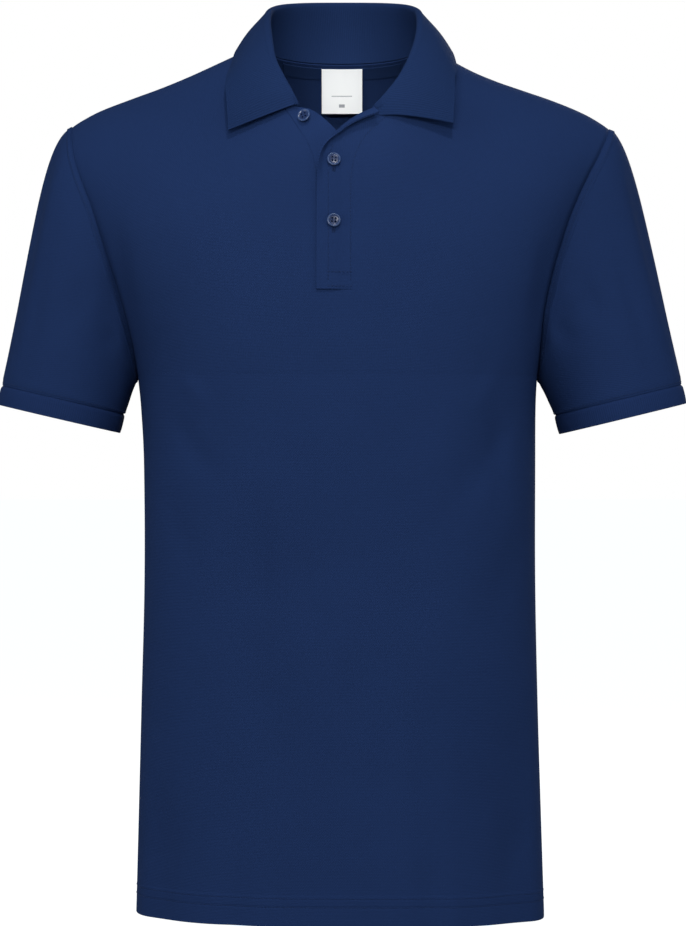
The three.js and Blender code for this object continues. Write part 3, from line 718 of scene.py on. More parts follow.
def sleeve_grid(side, loop):
    """Rings of a sleeve from its armhole to its cuff, then its mouth and the cuff's axis and centre."""
    form = SLEEVES[side]
    sign = form["sign"]
    outer, inner = Vector(form["outer"]), Vector(form["inner"])
    crown = Vector(form["crown"]).normalized()
    centre = (outer + inner) / 2
    inward = inner - centre
    axis = Vector((inward.z, 0, -inward.x)).normalized()
    axis *= sign_of(-axis.z)
    half = len(loop) // 2
    lengths = lengths_along(loop + loop[:1])
    hub = (loop[0] + loop[half]) / 2
    paths = []
    tucked = []
    for i, point in enumerate(loop):
        first = i <= half
        start_length = 0 if first else lengths[half]
        end_length = lengths[half] if first else lengths[-1]
        around = (lengths[i] - start_length) / (end_length - start_length) + (0 if first else 1)
        end = centre + inward * math.cos(math.pi * around)
        end += Vector((0, -SLEEVE_HALF_DEPTH * math.sin(math.pi * around), 0))
        span = (end - point).length
        height = clamp((point.z - UNDERARM) / (SHOULDER_TIP - UNDERARM), 0, 1)
        swell = math.sin(math.pi * height)
        crown_share = height ** SLEEVE_CROWN_POWER
        from_underarm = Vector((
            sign * UNDERARM_RUN["across"],
            sign_of(point.y) * UNDERARM_RUN["swell"] * swell,
            UNDERARM_RUN["down"],
        ))
        leave = (crown * crown_share + from_underarm * (1 - crown_share)).normalized()
        start = point + leave * SEAM_GAP + Vector((sign * SEAM_GAP, 0, 0))
        second = start + leave * span * mix(ARMHOLE_REACH["underarm"], ARMHOLE_REACH["crown"], height)
        third = end - axis * span * mix(CUFF_REACH["underarm"], CUFF_REACH["crown"], height)
        paths.append((around / 2, seam_depths(point.x, point.z), (start, second, third, end)))
        spoke = start - hub
        spoke.x = 0
        tucked.append(start - leave * SLEEVE_TUCK["along"] - spoke.normalized() * SLEEVE_TUCK["inward"])
    rings = [tucked]
    for s in eased_shares(SLEEVE_STEPS, SLEEVE_START_FINE):
        ring = []
        for around, depths, (start, second, third, end) in paths:
            t = s ** SLEEVE_SPACING
            u = 1 - t
            point = start * u ** 3 + second * 3 * u * u * t + third * 3 * u * t * t + end * t ** 3
            spoke = point - mix(loop[0], centre, s)
            spoke -= axis * spoke.dot(axis)
            rise = armhole_rise(depths, (point - start).length, s)
            ring.append(point - spoke.normalized() * (sleeve_relief(side, around, s) - rise))
        rings.append(ring)
    mouth = [path[-1] for _, _, path in paths]
    return rings, mouth, axis, centre


def cuff_grid(mouth, axis, centre):
    """Rings of a cuff, which follow the sleeve's mouth. The first is tucked into the sleeve."""
    def ring(scale, along):
        return [centre + (point - centre) * scale + axis * along for point in mouth]

    scale_at = smooth_line(CUFF_PROFILE, "along", "scale")
    steps = eased_shares(CUFF_STEPS, CUFF_FINE)
    return [ring(**CUFF_TUCK)] + [ring(scale_at(s), SEAM_GAP + s * CUFF_DEPTH) for s in steps]


NECK_SIDE_STEPS = 16
NECK_BACK_STEPS = 44
NECK_STEP = 3


def neck_seam():
    """From the left collar end, round the back, to the right collar end."""
    up_heights = [mix(NECK_SEAM_BOTTOM, 0, s) for s in shares(NECK_SIDE_STEPS)]
    left = [torso_point_at_x("front", front_edge["left"](z), z) for z in up_heights]
    right = [torso_point_at_x("front", front_edge["right"](z), z) for z in up_heights]
    back = []
    for x in neck_places(NECK_BACK_STEPS):
        back.append(torso_point_at_x("back", x, back_neck_line(abs(x))))
    first = [torso_point_at_x("front", x, z) for x, z in UNDER_BAND_TOP]
    last = [torso_point_at_x("front", x, z) for x, z in TOP_BAND_TOP][::-1]
    return finer(first + left + back + right[::-1] + last, NECK_STEP)


def finer(points, longest):
    """The same line with no step longer than that."""
    line = [points[0]]
    for point in points[1:]:
        step = point - line[-1]
        parts = max(math.ceil(step.length / longest), 1)
        start = line[-1]
        line += [start + step * (i / parts) for i in range(1, parts + 1)]
    return line


def collar_table():
    """Both halves of the collar, by share of the whole seam."""
    def spread(row, sign, share, shift):
        (rx, ry, rz), (ex, ey, ez) = row["roll"], row["edge"]
        return (share, sign * rx + shift, ry, rz, sign * ex + shift, ey, ez)

    rows = [spread(row, 1, row["share"], 0) for row in COLLAR_LEFT]
    rows += [spread(row, -1, row["share"], COLLAR_MIDDLE) for row in COLLAR_BACK]
    rows += [spread(row, 1, 1 - row["share"], COLLAR_MIDDLE) for row in COLLAR_BACK[-2::-1]]
    rows += [spread(row, 1, 1 - row["share"], 0) for row in COLLAR_RIGHT[::-1]]
    return table("share roll_x roll_y roll_z edge_x edge_y edge_z", rows)


STAND_STEPS = 10
ROLL_STEPS = 12
FALL_STEPS = 22
FALL_FINE = 1.35
# The share of the fall's slope by which the roll stops short of a half turn
ROLL_SHORT = 0.8


def collar_section(seam, roll, edge, radius, fullness, droop):
    """Up the stand, round the roll and down the fall, which bulges by its fullness."""
    up = Vector((0, 0, 1))
    outward = Vector((edge.x - roll.x, edge.y - roll.y, 0))
    reach = outward.length
    outward.normalize()
    centre = roll - up * radius
    start = seam + (roll - seam).normalized() * COLLAR_SEAM_GAP
    half_width = radius * ROLL_WIDTH
    inner = centre - outward * half_width
    fall_slope = math.atan2(reach - half_width, max(centre.z - edge.z, 1) + FALL_BULGE["upward"] * 2)
    full_turn = math.pi - fall_slope * ROLL_SHORT
    stand = []
    for s in shares(STAND_STEPS)[:-1]:
        stand.append(start.lerp(inner, s) + outward * STAND_BULGE * math.sin(math.pi * s))
    arc = []
    for s in shares(ROLL_STEPS):
        turn = full_turn * s
        arc.append(centre - outward * math.cos(turn) * half_width + up * math.sin(turn) * radius)
    fall = []
    for s in eased_shares(FALL_STEPS, FALL_FINE)[1:]:
        bulge = fullness * math.sin(math.pi * s)
        proud = (outward * FALL_BULGE["outward"] + up * FALL_BULGE["upward"]) * bulge
        sink = up * droop * (1 - math.exp(-s / DROOP_START)) * math.exp(-s / DROOP_RUN) * (1 - s)
        fall.append(arc[-1].lerp(edge, s) + proud - sink)
    return stand + arc + fall


def collar_grid():
    seam = neck_seam()
    lengths = lengths_along(seam)
    line = smooth_lines(collar_table(), "share")
    grid = []
    for point, length in zip(seam, lengths):
        share = length / lengths[-1]
        roll = Vector((line["roll_x"](share), line["roll_y"](share), line["roll_z"](share)))
        edge = Vector((line["edge_x"](share), line["edge_y"](share), line["edge_z"](share)))
        end = ease(1 - clamp(min(share, 1 - share) / COLLAR_END, 0, 1))
        droop = END_DROOP[side_of(share - 0.5)] * end
        radius = mix(ROLL_RADIUS, END_ROLL_RADIUS, end)
        grid.append(collar_section(point, roll, edge, radius, 1 - end, droop))
    return grid


def band_point(x, z, lift):
    here, normal = torso_normal("front", x, z)
    return here + normal * lift


def band_line(columns):
    """The columns of a placket band's table, at any share of its length."""
    count = len(next(iter(columns.values())))
    numbered = {**columns, "place": list(range(count))}
    lines = smooth_lines(numbered, "place")
    return lambda share: {name: line(share * (count - 1)) for name, line in lines.items()}


under_band_at = band_line(UNDER_BAND)
top_band_at = band_line(TOP_BAND)
band_seam_lift = smooth_line(BAND_SEAM, "across", "lift")
under_seam_lift = smooth_line(UNDER_BAND_SEAM, "across", "lift")
BAND_ROWS = 64
BAND_COLUMNS = 16
BAND_SEAM_FINE = 1.5
LAPEL_COLUMNS = 10


def across_band(row, end, share):
    """A place between a band's seam and its free edge or its fold."""
    return mix(row["seam_x"], row[f"{end}_x"], share), mix(row["seam_z"], row[f"{end}_z"], share)


def band_shares(seam):
    """Shares of the band's width, from its tucked edge, closer together at the seam."""
    return [mix(seam["across"][0], 1, share) for share in eased_shares(BAND_COLUMNS, BAND_SEAM_FINE)]


def under_band_grid():
    grid = []
    for s in shares(BAND_ROWS):
        row = under_band_at(s)
        grid.append([
            band_point(*across_band(row, "free", f), under_seam_lift(f))
            for f in band_shares(UNDER_BAND_SEAM)
        ])
    return grid


def fold_place(s):
    """Where the top band turns back, on the torso's outer face, and the outward direction there."""
    row = top_band_at(clamp(s, 0, 1))
    here, normal = torso_normal("front", row["fold_x"], row["fold_z"])
    return here + normal * TOP_BAND_LIFT, normal


def top_band_row(s):
    """The band lies on the front up to its fold, and its free edge turns back more and more upwards."""
    row = top_band_at(s)
    flat = [band_point(*across_band(row, "fold", f), band_seam_lift(f)) for f in band_shares(BAND_SEAM)]
    normal = fold_place(s)[1]
    along = fold_place(s + FOLD_STEP)[0] - fold_place(s - FOLD_STEP)[0]
    onward = normal.cross(along).normalized()
    turn = math.radians(max(row["turn"], 0))
    point = flat[-1]
    flap = []
    for k in range(LAPEL_COLUMNS):
        heading = turn * min((k + 0.5) / LAPEL_COLUMNS / LAPEL_BEND, 1)
        step = onward * math.cos(heading) + normal * math.sin(heading)
        point = point + step * (row["flap"] / LAPEL_COLUMNS)
        flap.append(point)
    return (flat + flap)[::-1]


def back_inside(x, z, depth):
    here, normal = torso_normal("back", x, z)
    return here - normal * depth


def tape_grid():
    grid = []
    for s in shares(TAPE_STEPS["up"]):
        row = []
        for f in shares(TAPE_STEPS["across"]):
            x = mix(-TAPE_HALF_WIDTH, TAPE_HALF_WIDTH, f)
            z = back_neck_line(abs(x)) - TAPE_BELOW_SEAM - TAPE_HEIGHT * (1 - s)
            row.append(back_inside(x, z, BODY_WALL + TAPE_GAP))
        grid.append(row)
    return grid


def label_grid():
    grid = []
    depth = BODY_WALL + TAPE_WALL + LABEL_GAP
    for s in shares(LABEL_STEPS["up"]):
        row = []
        drop = LABEL_HEIGHT * (1 - s)
        for f in shares(LABEL_STEPS["across"]):
            x = mix(-LABEL_HALF_WIDTH, LABEL_HALF_WIDTH, f)
            top = back_inside(x, LABEL_TOP, depth)
            behind = back_inside(x, LABEL_TOP - drop, depth)
            row.append(Vector((x, mix(top.y, behind.y, LABEL_FOLLOW), top.z - drop)))
        grid.append(row)
    return grid


# Making pieces from their grids

def made_mesh(name, bm, smooth=False):
    for face in bm.faces:
        face.smooth = smooth
    mesh = bpy.data.meshes.new(name)
    bm.to_mesh(mesh)
    bm.free()
    return mesh


def grid_uv(grid, straight_ribs):
    """Where each point lies on its flat cloth, in millimetres: across and along."""
    count = len(grid)
    along = [[0] * len(grid[0]) for _ in grid]
    across = [[0] * len(row) for row in grid]
    for r, row in enumerate(grid):
        for c, point in enumerate(row):
            if c:
                across[r][c] = across[r][c - 1] + (point - row[c - 1]).length
            if r:
                along[r][c] = along[r - 1][c] + (point - grid[r - 1][c]).length
    if straight_ribs == "along":
        longest = max(range(count), key=lambda r: across[r][-1])
        across = [across[longest]] * count
    if straight_ribs == "across":
        middle = len(grid[0]) // 2
        along = [[along[r][middle]] * len(grid[0]) for r in range(count)]
    return across, along


def cloth_mesh(name, grid, flip, present, straight_ribs=None):
    """A sheet of cloth through a grid of points, with its flat place as its UV map."""
    rows, columns = len(grid), len(grid[0])
    bm = bmesh.new()
    bmesh.ops.create_grid(bm, x_segments=columns - 1, y_segments=rows - 1, size=0.5, calc_uvs=True)
    low = min(v.co.x for v in bm.verts)
    width = max(v.co.x for v in bm.verts) - low
    across, along = grid_uv(grid, straight_ribs)
    uv = bm.loops.layers.uv.verify()
    cell = {}
    for v in bm.verts:
        column = round((v.co.x - low) / width * (columns - 1))
        row = round((v.co.y - low) / width * (rows - 1))
        cell[v] = (row, column)
    for face in bm.faces:
        for loop in face.loops:
            r, c = cell[loop.vert]
            place = (across[r][c] * MM, along[r][c] * MM)
            loop[uv].uv = place[::-1] if straight_ribs == "across" else place
    away = []
    for face in bm.faces:
        row = min(cell[v][0] for v in face.verts)
        column = min(cell[v][1] for v in face.verts)
        if not present(row, column):
            away.append(face)
    for v in bm.verts:
        r, c = cell[v]
        v.co = grid[r][c] * MM
    if away:
        bmesh.ops.delete(bm, geom=away, context="FACES")
    bmesh.ops.remove_doubles(bm, verts=bm.verts, dist=SAME_PLACE)
    if flip:
        bmesh.ops.reverse_faces(bm, faces=bm.faces)
    return made_mesh(name, bm, smooth=True)


def add_piece(name, mesh, material, node=None):
    obj = bpy.data.objects.new(name, mesh)
    bpy.context.scene.collection.objects.link(obj)
    mesh.materials.append(material)
    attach(obj, "root")
    if node:
        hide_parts(node)
    return obj


def round_edges(obj, width, angle):
    edge = obj.modifiers.new("edge", "BEVEL")
    edge.width = width * MM
    edge.segments = 2
    edge.limit_method = "ANGLE"
    edge.angle_limit = math.radians(angle)
    edge.harden_normals = True


def cloth_piece(node, grid, wall, material, flip=False, present=lambda r, c: True, straight_ribs=None):
    """A cut piece of cloth: its sheet, its wall on the inner side, and rounded edges."""
    mesh = cloth_mesh(f"{node}_cloth", grid, flip, present, straight_ribs)
    obj = add_piece(f"{node}_cloth", mesh, material, node)
    solid = obj.modifiers.new("wall", "SOLIDIFY")
    solid.thickness = wall * MM
    solid.offset = -1
    solid.use_rim = True
    round_edges(obj, wall * EDGE_ROUNDING, CLOTH_EDGE_ANGLE)
    return obj


# Sewing

def edge_line(grid, edge, distance, flip=False):
    """Points on the cloth at a distance in from one edge of its grid, each with its outward direction."""
    rows = [list(row) for row in (grid if edge in ("left", "right") else zip(*grid))]
    if edge in ("right", "top"):
        rows = [row[::-1] for row in rows]
    spots = []
    for row in rows:
        walked = 0
        for a, b in zip(row, row[1:]):
            step = (b - a).length
            if walked + step >= distance:
                spots.append((a.lerp(b, (distance - walked) / step), b - a))
                break
            walked += step
    turn = -1 if edge in ("right", "bottom") else 1
    turn *= -1 if flip else 1
    line = []
    for i, (point, inward) in enumerate(spots):
        tangent = spots[min(i + 1, len(spots) - 1)][0] - spots[max(i - 1, 0)][0]
        line.append((point, inward.cross(tangent).normalized() * turn))
    return line


STITCH_FLATNESS = 0.8


def stitch_mesh(length, width):
    bm = bmesh.new()
    bmesh.ops.create_icosphere(bm, subdivisions=1, radius=0.5)
    bmesh.ops.scale(bm, vec=Vector((length, width, width * STITCH_FLATNESS)) * MM, verts=bm.verts)
    return made_mesh("stitch", bm, smooth=True)


def sew(bm, line, pitch=3.0, length=2.4, width=0.6, lift=0.12, slant=0):
    """Single stitches along a line of points with their outward directions."""
    template = stitch_mesh(length, width)
    walked = 0
    due = pitch / 2
    for (a, normal_a), (b, normal_b) in zip(line, line[1:]):
        step = (b - a).length
        while step > 0 and walked + step >= due:
            f = (due - walked) / step
            normal = normal_a.lerp(normal_b, f).normalized()
            tangent = (b - a).normalized()
            tangent = (tangent - normal * tangent.dot(normal)).normalized()
            side = normal.cross(tangent)
            place = Matrix((tangent, side, normal)).transposed().to_4x4()
            place.translation = (a.lerp(b, f) + normal * lift) * MM
            placed = template.copy()
            placed.transform(place @ Matrix.Rotation(slant, 4, "Z"))
            bm.from_mesh(placed)
            bpy.data.meshes.remove(placed)
            due += pitch
        walked += step
    bpy.data.meshes.remove(template)


def sewn_piece(name, material, lines, slot="pique", **stitch):
    bm = bmesh.new()
    for line in lines:
        sew(bm, line, **stitch)
    return add_piece(name, made_mesh(name, bm, smooth=True), material)


def band_stitch_line(places, lift):
    """A line on the placket through places (x, z), in short steps."""
    flat = finer([Vector((x, 0, z)) for x, z in places], 2)
    line = []
    for spot in flat:
        here, normal = torso_normal("front", spot.x, spot.z)
        line.append((here + normal * lift, normal))
    return line


def band_row(distance, low, high):
    """A row of stitches up the top band, that far in from its fold, or with a minus from its seam."""
    places = []
    for s in shares(BAND_ROWS):
        row = top_band_at(mix(low, high, s))
        width = math.hypot(row["fold_x"] - row["seam_x"], row["fold_z"] - row["seam_z"])
        f = 1 - distance / width if distance > 0 else -distance / width
        here, normal = torso_normal("front", *across_band(row, "fold", f))
        places.append((here + normal * band_seam_lift(f), normal))
    return places


# Rows of stitches, by their distance in from the seam or the edge that they follow
ARMHOLE_ROW = 6.3
CUFF_ROW = 2.2
SHOULDER_ROW = 3
TAPE_ROW = 1
BAND_EDGE_ROW = 2.2
BAND_SEAM_ROW = 2
PLACKET_FOOT_ROWS = (-203, -214.6)
PLACKET_FOOT_ENDS = (-12.4, 8.4)
BUTTONHOLES = [(-6.9, -106.5, -120), (-6.9, -157, -170.5)]
BUTTONHOLE_LIPS = (-0.75, 0.75)


# Buttons

BUTTON_PROFILE = [
    (0, 0.3), (3.4, 0.2), (5.0, 0.55), (5.6, 1.15), (5.7, 1.7), (5.5, 2.25), (5.05, 2.6),
    (4.55, 2.55), (4.1, 2.1), (3.3, 1.9), (0, 1.85),
]
HOLE_CORNERS = ((1, 1), (-1, 1), (-1, -1), (1, -1))
HOLE_CUT_DEPTH = 6
# Button thread: pairs of turns, each from hole to hole and arched over the middle, and the shank below
THREAD_WIDTH = 0.36
THREAD_SPREAD = 0.19
THREAD_IN_HOLE = {"across": 0.3, "along": 0.35}
THREAD_HEIGHT = 1.78
THREAD_ARCH = 0.25
THREAD_STEPS = 9
THREAD_OVERLAP = 1.08
SHANK = {"bottom": 1.7, "top": 1.3, "height": 1.2, "middle": -0.3}


def button_body():
    """A turned button with a raised rim and a dished middle, and its four holes."""
    bm = bmesh.new()
    ring = [bm.verts.new((r * MM, 0, h * MM)) for r, h in BUTTON_PROFILE]
    edges = [bm.edges.new(pair) for pair in zip(ring, ring[1:])]
    bmesh.ops.spin(
        bm, geom=ring + edges, cent=(0, 0, 0), axis=(0, 0, 1), angle=math.tau, steps=48, use_merge=True)
    bmesh.ops.remove_doubles(bm, verts=bm.verts, dist=0.000001)
    bmesh.ops.recalc_face_normals(bm, faces=bm.faces)
    uv = bm.loops.layers.uv.verify()
    for face in bm.faces:
        for loop in face.loops:
            loop[uv].uv = (math.hypot(loop.vert.co.x, loop.vert.co.y), loop.vert.co.z)
    holes = bmesh.new()
    for sx, sy in HOLE_CORNERS:
        place = Matrix.Translation(Vector((sx * BUTTON_HOLE_OFFSET, sy * BUTTON_HOLE_OFFSET, 1)) * MM)
        bmesh.ops.create_cone(
            holes, cap_ends=True, segments=16, radius1=BUTTON_HOLE_RADIUS * MM,
            radius2=BUTTON_HOLE_RADIUS * MM, depth=HOLE_CUT_DEPTH * MM, matrix=place)
    body = bpy.data.objects.new("button_body", made_mesh("button_body", bm))
    cutter = bpy.data.objects.new("button_holes", made_mesh("button_holes", holes))
    for obj in (body, cutter):
        bpy.context.scene.collection.objects.link(obj)
    cut = body.modifiers.new("holes", "BOOLEAN")
    cut.operation = "DIFFERENCE"
    cut.object = cutter
    cut.solver = "EXACT"
    bpy.context.view_layer.update()
    made = bpy.data.meshes.new_from_object(body.evaluated_get(bpy.context.evaluated_depsgraph_get()))
    for obj in (body, cutter):
        bpy.data.objects.remove(obj)
    return made


def thread_bar(bm, start, end):
    line = []
    for s in shares(THREAD_STEPS):
        point = start.lerp(end, s)
        point.z += THREAD_ARCH * math.sin(math.pi * s) ** 0.5
        line.append(point)
    for a, b in zip(line, line[1:]):
        step = b - a
        turn = Vector((0, 0, 1)).rotation_difference(step.normalized()).to_matrix().to_4x4()
        place = Matrix.Translation((a + b) / 2 * MM) @ turn
        bmesh.ops.create_cone(
            bm, cap_ends=False, segments=8, radius1=THREAD_WIDTH / 2 * MM,
            radius2=THREAD_WIDTH / 2 * MM, depth=step.length * THREAD_OVERLAP * MM, matrix=place)


def button_thread():
    bm = bmesh.new()
    along = BUTTON_HOLE_OFFSET - THREAD_IN_HOLE["along"]
    for side in (-1, 1):
        for shift in (-THREAD_SPREAD, THREAD_SPREAD):
            x = side * (BUTTON_HOLE_OFFSET - THREAD_IN_HOLE["across"]) + shift
            ends = [Vector((x, y, THREAD_HEIGHT)) for y in (-along, along)]
            thread_bar(bm, *ends)
    bmesh.ops.create_cone(
        bm, cap_ends=True, segments=14, radius1=SHANK["bottom"] * MM, radius2=SHANK["top"] * MM,
        depth=SHANK["height"] * MM, matrix=Matrix.Translation(Vector((0, 0, SHANK["middle"])) * MM))
    return made_mesh("button_thread", bm, smooth=True)


def add_button(row, body, thread, resin, thread_cloth):
    here, normal = torso_normal("front", row["x"], row["z"])
    facing = (normal + Vector((row["lean"], 0, 0))).normalized()
    place = Vector((0, 0, 1)).rotation_difference(facing).to_matrix().to_4x4()
    place.translation = (here + normal * row["lift"]) * MM
    button_mesh = body.copy()
    button_mesh.transform(place)
    for polygon in button_mesh.polygons:
        polygon.use_smooth = True
    button = add_piece(f"{row['name']}_turned", button_mesh, resin, row["name"])
    round_edges(button, BUTTON_ROUNDING, BUTTON_EDGE_ANGLE)
    thread_mesh = thread.copy()
    thread_mesh.transform(place)
    add_piece(f"{row['name']}_thread", thread_mesh, thread_cloth)


# Finishes

NAVY = (31, 50, 90)
NAVY_RIB = (29, 47, 86)
# The collar's rib is a darker copy of the cuffs' rib: painted shade for the shade that falls on the collar
# leaves
NAVY_COLLAR_PAINTED_SHADE = (26, 44, 80)
NAVY_TAPE = (28, 46, 82)
NAVY_THREAD = (28, 46, 83)
BUTTON_MIDDLE = (24, 40, 78)
# The rim's paler colour is a painted highlight, where the turned rim catches light
BUTTON_RIM_PAINTED_HIGHLIGHT = (48, 68, 108)
WHITE_LABEL = (246, 246, 244)
LABEL_GREY = (150, 152, 156)
LABEL_LINE = {"half_width": 9, "low": 15.2, "high": 15.9}
LABEL_BLOCK = {"half_width": 2.6, "low": 5.6, "high": 8.4}

# Pitches and depths of the knits and weaves, in metres
PIQUE_PITCHES = (0.0014, 0.0012)
RIB_PITCHES = (0.0019, 0.0008)
TAPE_PITCHES = (0.0009, 0.0006)
LABEL_PITCHES = (0.0005, 0.0004)
PIQUE_RELIEF = 0.00022
RIB_RELIEF = 0.0003
TAPE_RELIEF = 0.0002
LABEL_RELIEF = 0.00012
HEM_RELIEF = 0.0006
# The distances from a button's middle between which its colour turns to the rim's painted highlight, in
# metres
BUTTON_HIGHLIGHT_BAND = (0.0036, 0.0048)


def linear(colour):
    """A colour as a screen shows it, from 0 to 255, as Blender's linear colour."""
    parts = [c / 255 for c in colour]
    return tuple(p / 12.92 if p < 0.04045 else ((p + 0.055) / 1.055) ** 2.4 for p in parts) + (1,)


def put(tree, kind, *values, **settings):
    """A node with its inputs, in order, set to a value or joined to another node's output."""
    made = tree.nodes.new(kind)
    for name, value in settings.items():
        setattr(made, name, value)
    for socket, value in zip(made.inputs, values):
        if isinstance(value, bpy.types.NodeSocket):
            tree.links.new(value, socket)
        elif value is not None:
            socket.default_value = value
    return made


def maths(tree, operation, *values):
    return put(tree, "ShaderNodeMath", *values, operation=operation).outputs[0]


def ranged(tree, value, low, high, at_low, at_high):
    """A value taken from one range to another, and held at its ends."""
    return put(tree, "ShaderNodeMapRange", value, low, high, at_low, at_high).outputs[0]


def noise_level(tree, place, scale, at_low, at_high):
    """A level that wanders from place to place."""
    wandering = put(tree, "ShaderNodeTexNoise", place, None, scale, 2.0).outputs[0]
    return ranged(tree, wandering, 0.3, 0.7, at_low, at_high)


def shaded(tree, colour, level):
    """A colour made darker or lighter by a level."""
    scaled = put(tree, "ShaderNodeVectorMath", colour, operation="SCALE")
    tree.links.new(level, scaled.inputs["Scale"])
    return scaled.outputs[0]


def two_colours(tree, share, first, second):
    mixed = put(tree, "ShaderNodeMix", share, data_type="RGBA")
    mixed.inputs[6].default_value = first
    mixed.inputs[7].default_value = second
    return mixed.outputs[2]


def grouped(tree, group, *values):
    return put(tree, "ShaderNodeGroup", *values, node_tree=group).outputs


def connect(tree, shader, **sources):
    """Join outputs to the inputs of a shader by name, with _ for a space."""
    for name, source in sources.items():
        tree.links.new(source, shader.inputs[name.replace("_", " ")])


def new_group(name, inputs, outputs):
    """An empty shader group with its sockets: the tree, its inputs by name, and its output node."""
    tree = bpy.data.node_groups.new(name, "ShaderNodeTree")
    for label, kind in inputs:
        tree.interface.new_socket(label, in_out="INPUT", socket_type=kind)
    for label, kind in outputs:
        tree.interface.new_socket(label, in_out="OUTPUT", socket_type=kind)
    start = tree.nodes.new("NodeGroupInput")
    end = tree.nodes.new("NodeGroupOutput")
    return tree, start.outputs, end


def bump_row(tree, place, pitch):
    """Rounded ridges side by side: 0 between them and 1 on top."""
    turn = maths(tree, "MULTIPLY", maths(tree, "DIVIDE", place, pitch), math.pi)
    return maths(tree, "ABSOLUTE", maths(tree, "SINE", turn))


def pique_knit():
    """Small raised cells in staggered rows."""
    tree, given, end = new_group("pique knit", [
        ("Place", "NodeSocketVector"), ("Wale", "NodeSocketFloat"), ("Course", "NodeSocketFloat"),
    ], [("Relief", "NodeSocketFloat")])
    place = put(tree, "ShaderNodeSeparateXYZ", given["Place"]).outputs
    row = maths(tree, "FLOOR", maths(tree, "DIVIDE", place[1], given["Course"]))
    half_wale = maths(tree, "MULTIPLY", given["Wale"], 0.5)
    shift = maths(tree, "MULTIPLY", maths(tree, "MODULO", row, 2), half_wale)
    across = bump_row(tree, maths(tree, "ADD", place[0], shift), given["Wale"])
    along = bump_row(tree, place[1], given["Course"])
    tree.links.new(maths(tree, "POWER", maths(tree, "MULTIPLY", across, along), 0.6), end.inputs[0])
    return tree


def rib_knit():
    """Fine ribs, with the knit's own small steps along them."""
    tree, given, end = new_group("rib knit", [
        ("Place", "NodeSocketVector"), ("Rib", "NodeSocketFloat"), ("Course", "NodeSocketFloat"),
    ], [("Relief", "NodeSocketFloat")])
    place = put(tree, "ShaderNodeSeparateXYZ", given["Place"]).outputs
    rib = maths(tree, "POWER", bump_row(tree, place[0], given["Rib"]), 0.7)
    step = bump_row(tree, place[1], given["Course"])
    both = maths(tree, "ADD", maths(tree, "MULTIPLY", rib, 0.85), maths(tree, "MULTIPLY", step, 0.15))
    tree.links.new(both, end.inputs[0])
    return tree


def yarn_tone_and_loop_shade():
    """The yarn's colour, with painted shade between its loops and a slight painted light on their tops, and
    a little uneven from place to place.
    """
    tree, given, end = new_group("yarn tone and painted loop shade", [
        ("Color", "NodeSocketColor"), ("Relief", "NodeSocketFloat"), ("Position", "NodeSocketVector"),
    ], [("Color", "NodeSocketColor"), ("Roughness", "NodeSocketFloat")])
    # Painted shade: darker where the knit's relief is low, between the loops, and slightly lighter on the
    # loops' tops
    loops = ranged(tree, given["Relief"], 0.0, 1.0, 0.8, 1.08)
    patch = noise_level(tree, given["Position"], 9.0, 0.96, 1.04)
    fluff = noise_level(tree, given["Position"], 900.0, 0.94, 1.06)
    level = maths(tree, "MULTIPLY", maths(tree, "MULTIPLY", loops, patch), fluff)
    tree.links.new(shaded(tree, given["Color"], level), end.inputs[0])
    tree.links.new(noise_level(tree, given["Position"], 900.0, 0.82, 0.95), end.inputs[1])
    return tree


HEM_ROWS = (16, 23)
HEM_TURN = {"start": 23.5, "end": 25.7}
HEM_GROOVE = {"width": 1.5, "depth": 0.5}


def hem_press():
    """The turned hem: its doubled cloth stands a little proud, and its two rows of stitches sink in."""
    tree, given, end = new_group(
        "hem press", [("Place", "NodeSocketVector")], [("Relief", "NodeSocketFloat")])
    along = put(tree, "ShaderNodeSeparateXYZ", given["Place"]).outputs[1]
    level = ranged(tree, along, HEM_TURN["start"] * MM, HEM_TURN["end"] * MM, 1.0, 0.0)
    for height in HEM_ROWS:
        away = maths(tree, "ABSOLUTE", maths(tree, "SUBTRACT", along, height * MM))
        groove = ranged(tree, away, 0.0, HEM_GROOVE["width"] * MM, HEM_GROOVE["depth"], 0.0)
        level = maths(tree, "SUBTRACT", level, groove)
    tree.links.new(level, end.inputs[0])
    return tree


def new_material(name):
    material = bpy.data.materials.new(name)
    material.use_nodes = True
    tree = material.node_tree
    return material, tree, tree.nodes["Principled BSDF"]


def bump_of(tree, strength, depth, relief):
    bump = put(tree, "ShaderNodeBump", strength, depth)
    tree.links.new(relief, bump.inputs["Height"])
    return bump


def cloth_material(name, colour, knit, pitches, depth, hem=None):
    """Knitted cotton: its knit as relief and as painted shade between its loops, and a matt, slightly fuzzy
    surface.
    """
    material, tree, shader = new_material(name)
    coordinates = tree.nodes.new("ShaderNodeTexCoord").outputs
    relief = grouped(tree, knit, coordinates["UV"], *pitches)[0]
    shade = grouped(tree, YARN_TONE_AND_LOOP_SHADE, linear(colour), relief, coordinates["Object"])
    bump = bump_of(tree, 0.6, depth, relief)
    if hem:
        press = bump_of(tree, 0.9, HEM_RELIEF, grouped(tree, hem, coordinates["UV"])[0])
        tree.links.new(press.outputs[0], bump.inputs["Normal"])
    connect(tree, shader, Base_Color=shade[0], Roughness=shade[1], Normal=bump.outputs[0])
    shader.inputs["Specular IOR Level"].default_value = 0.06
    return material


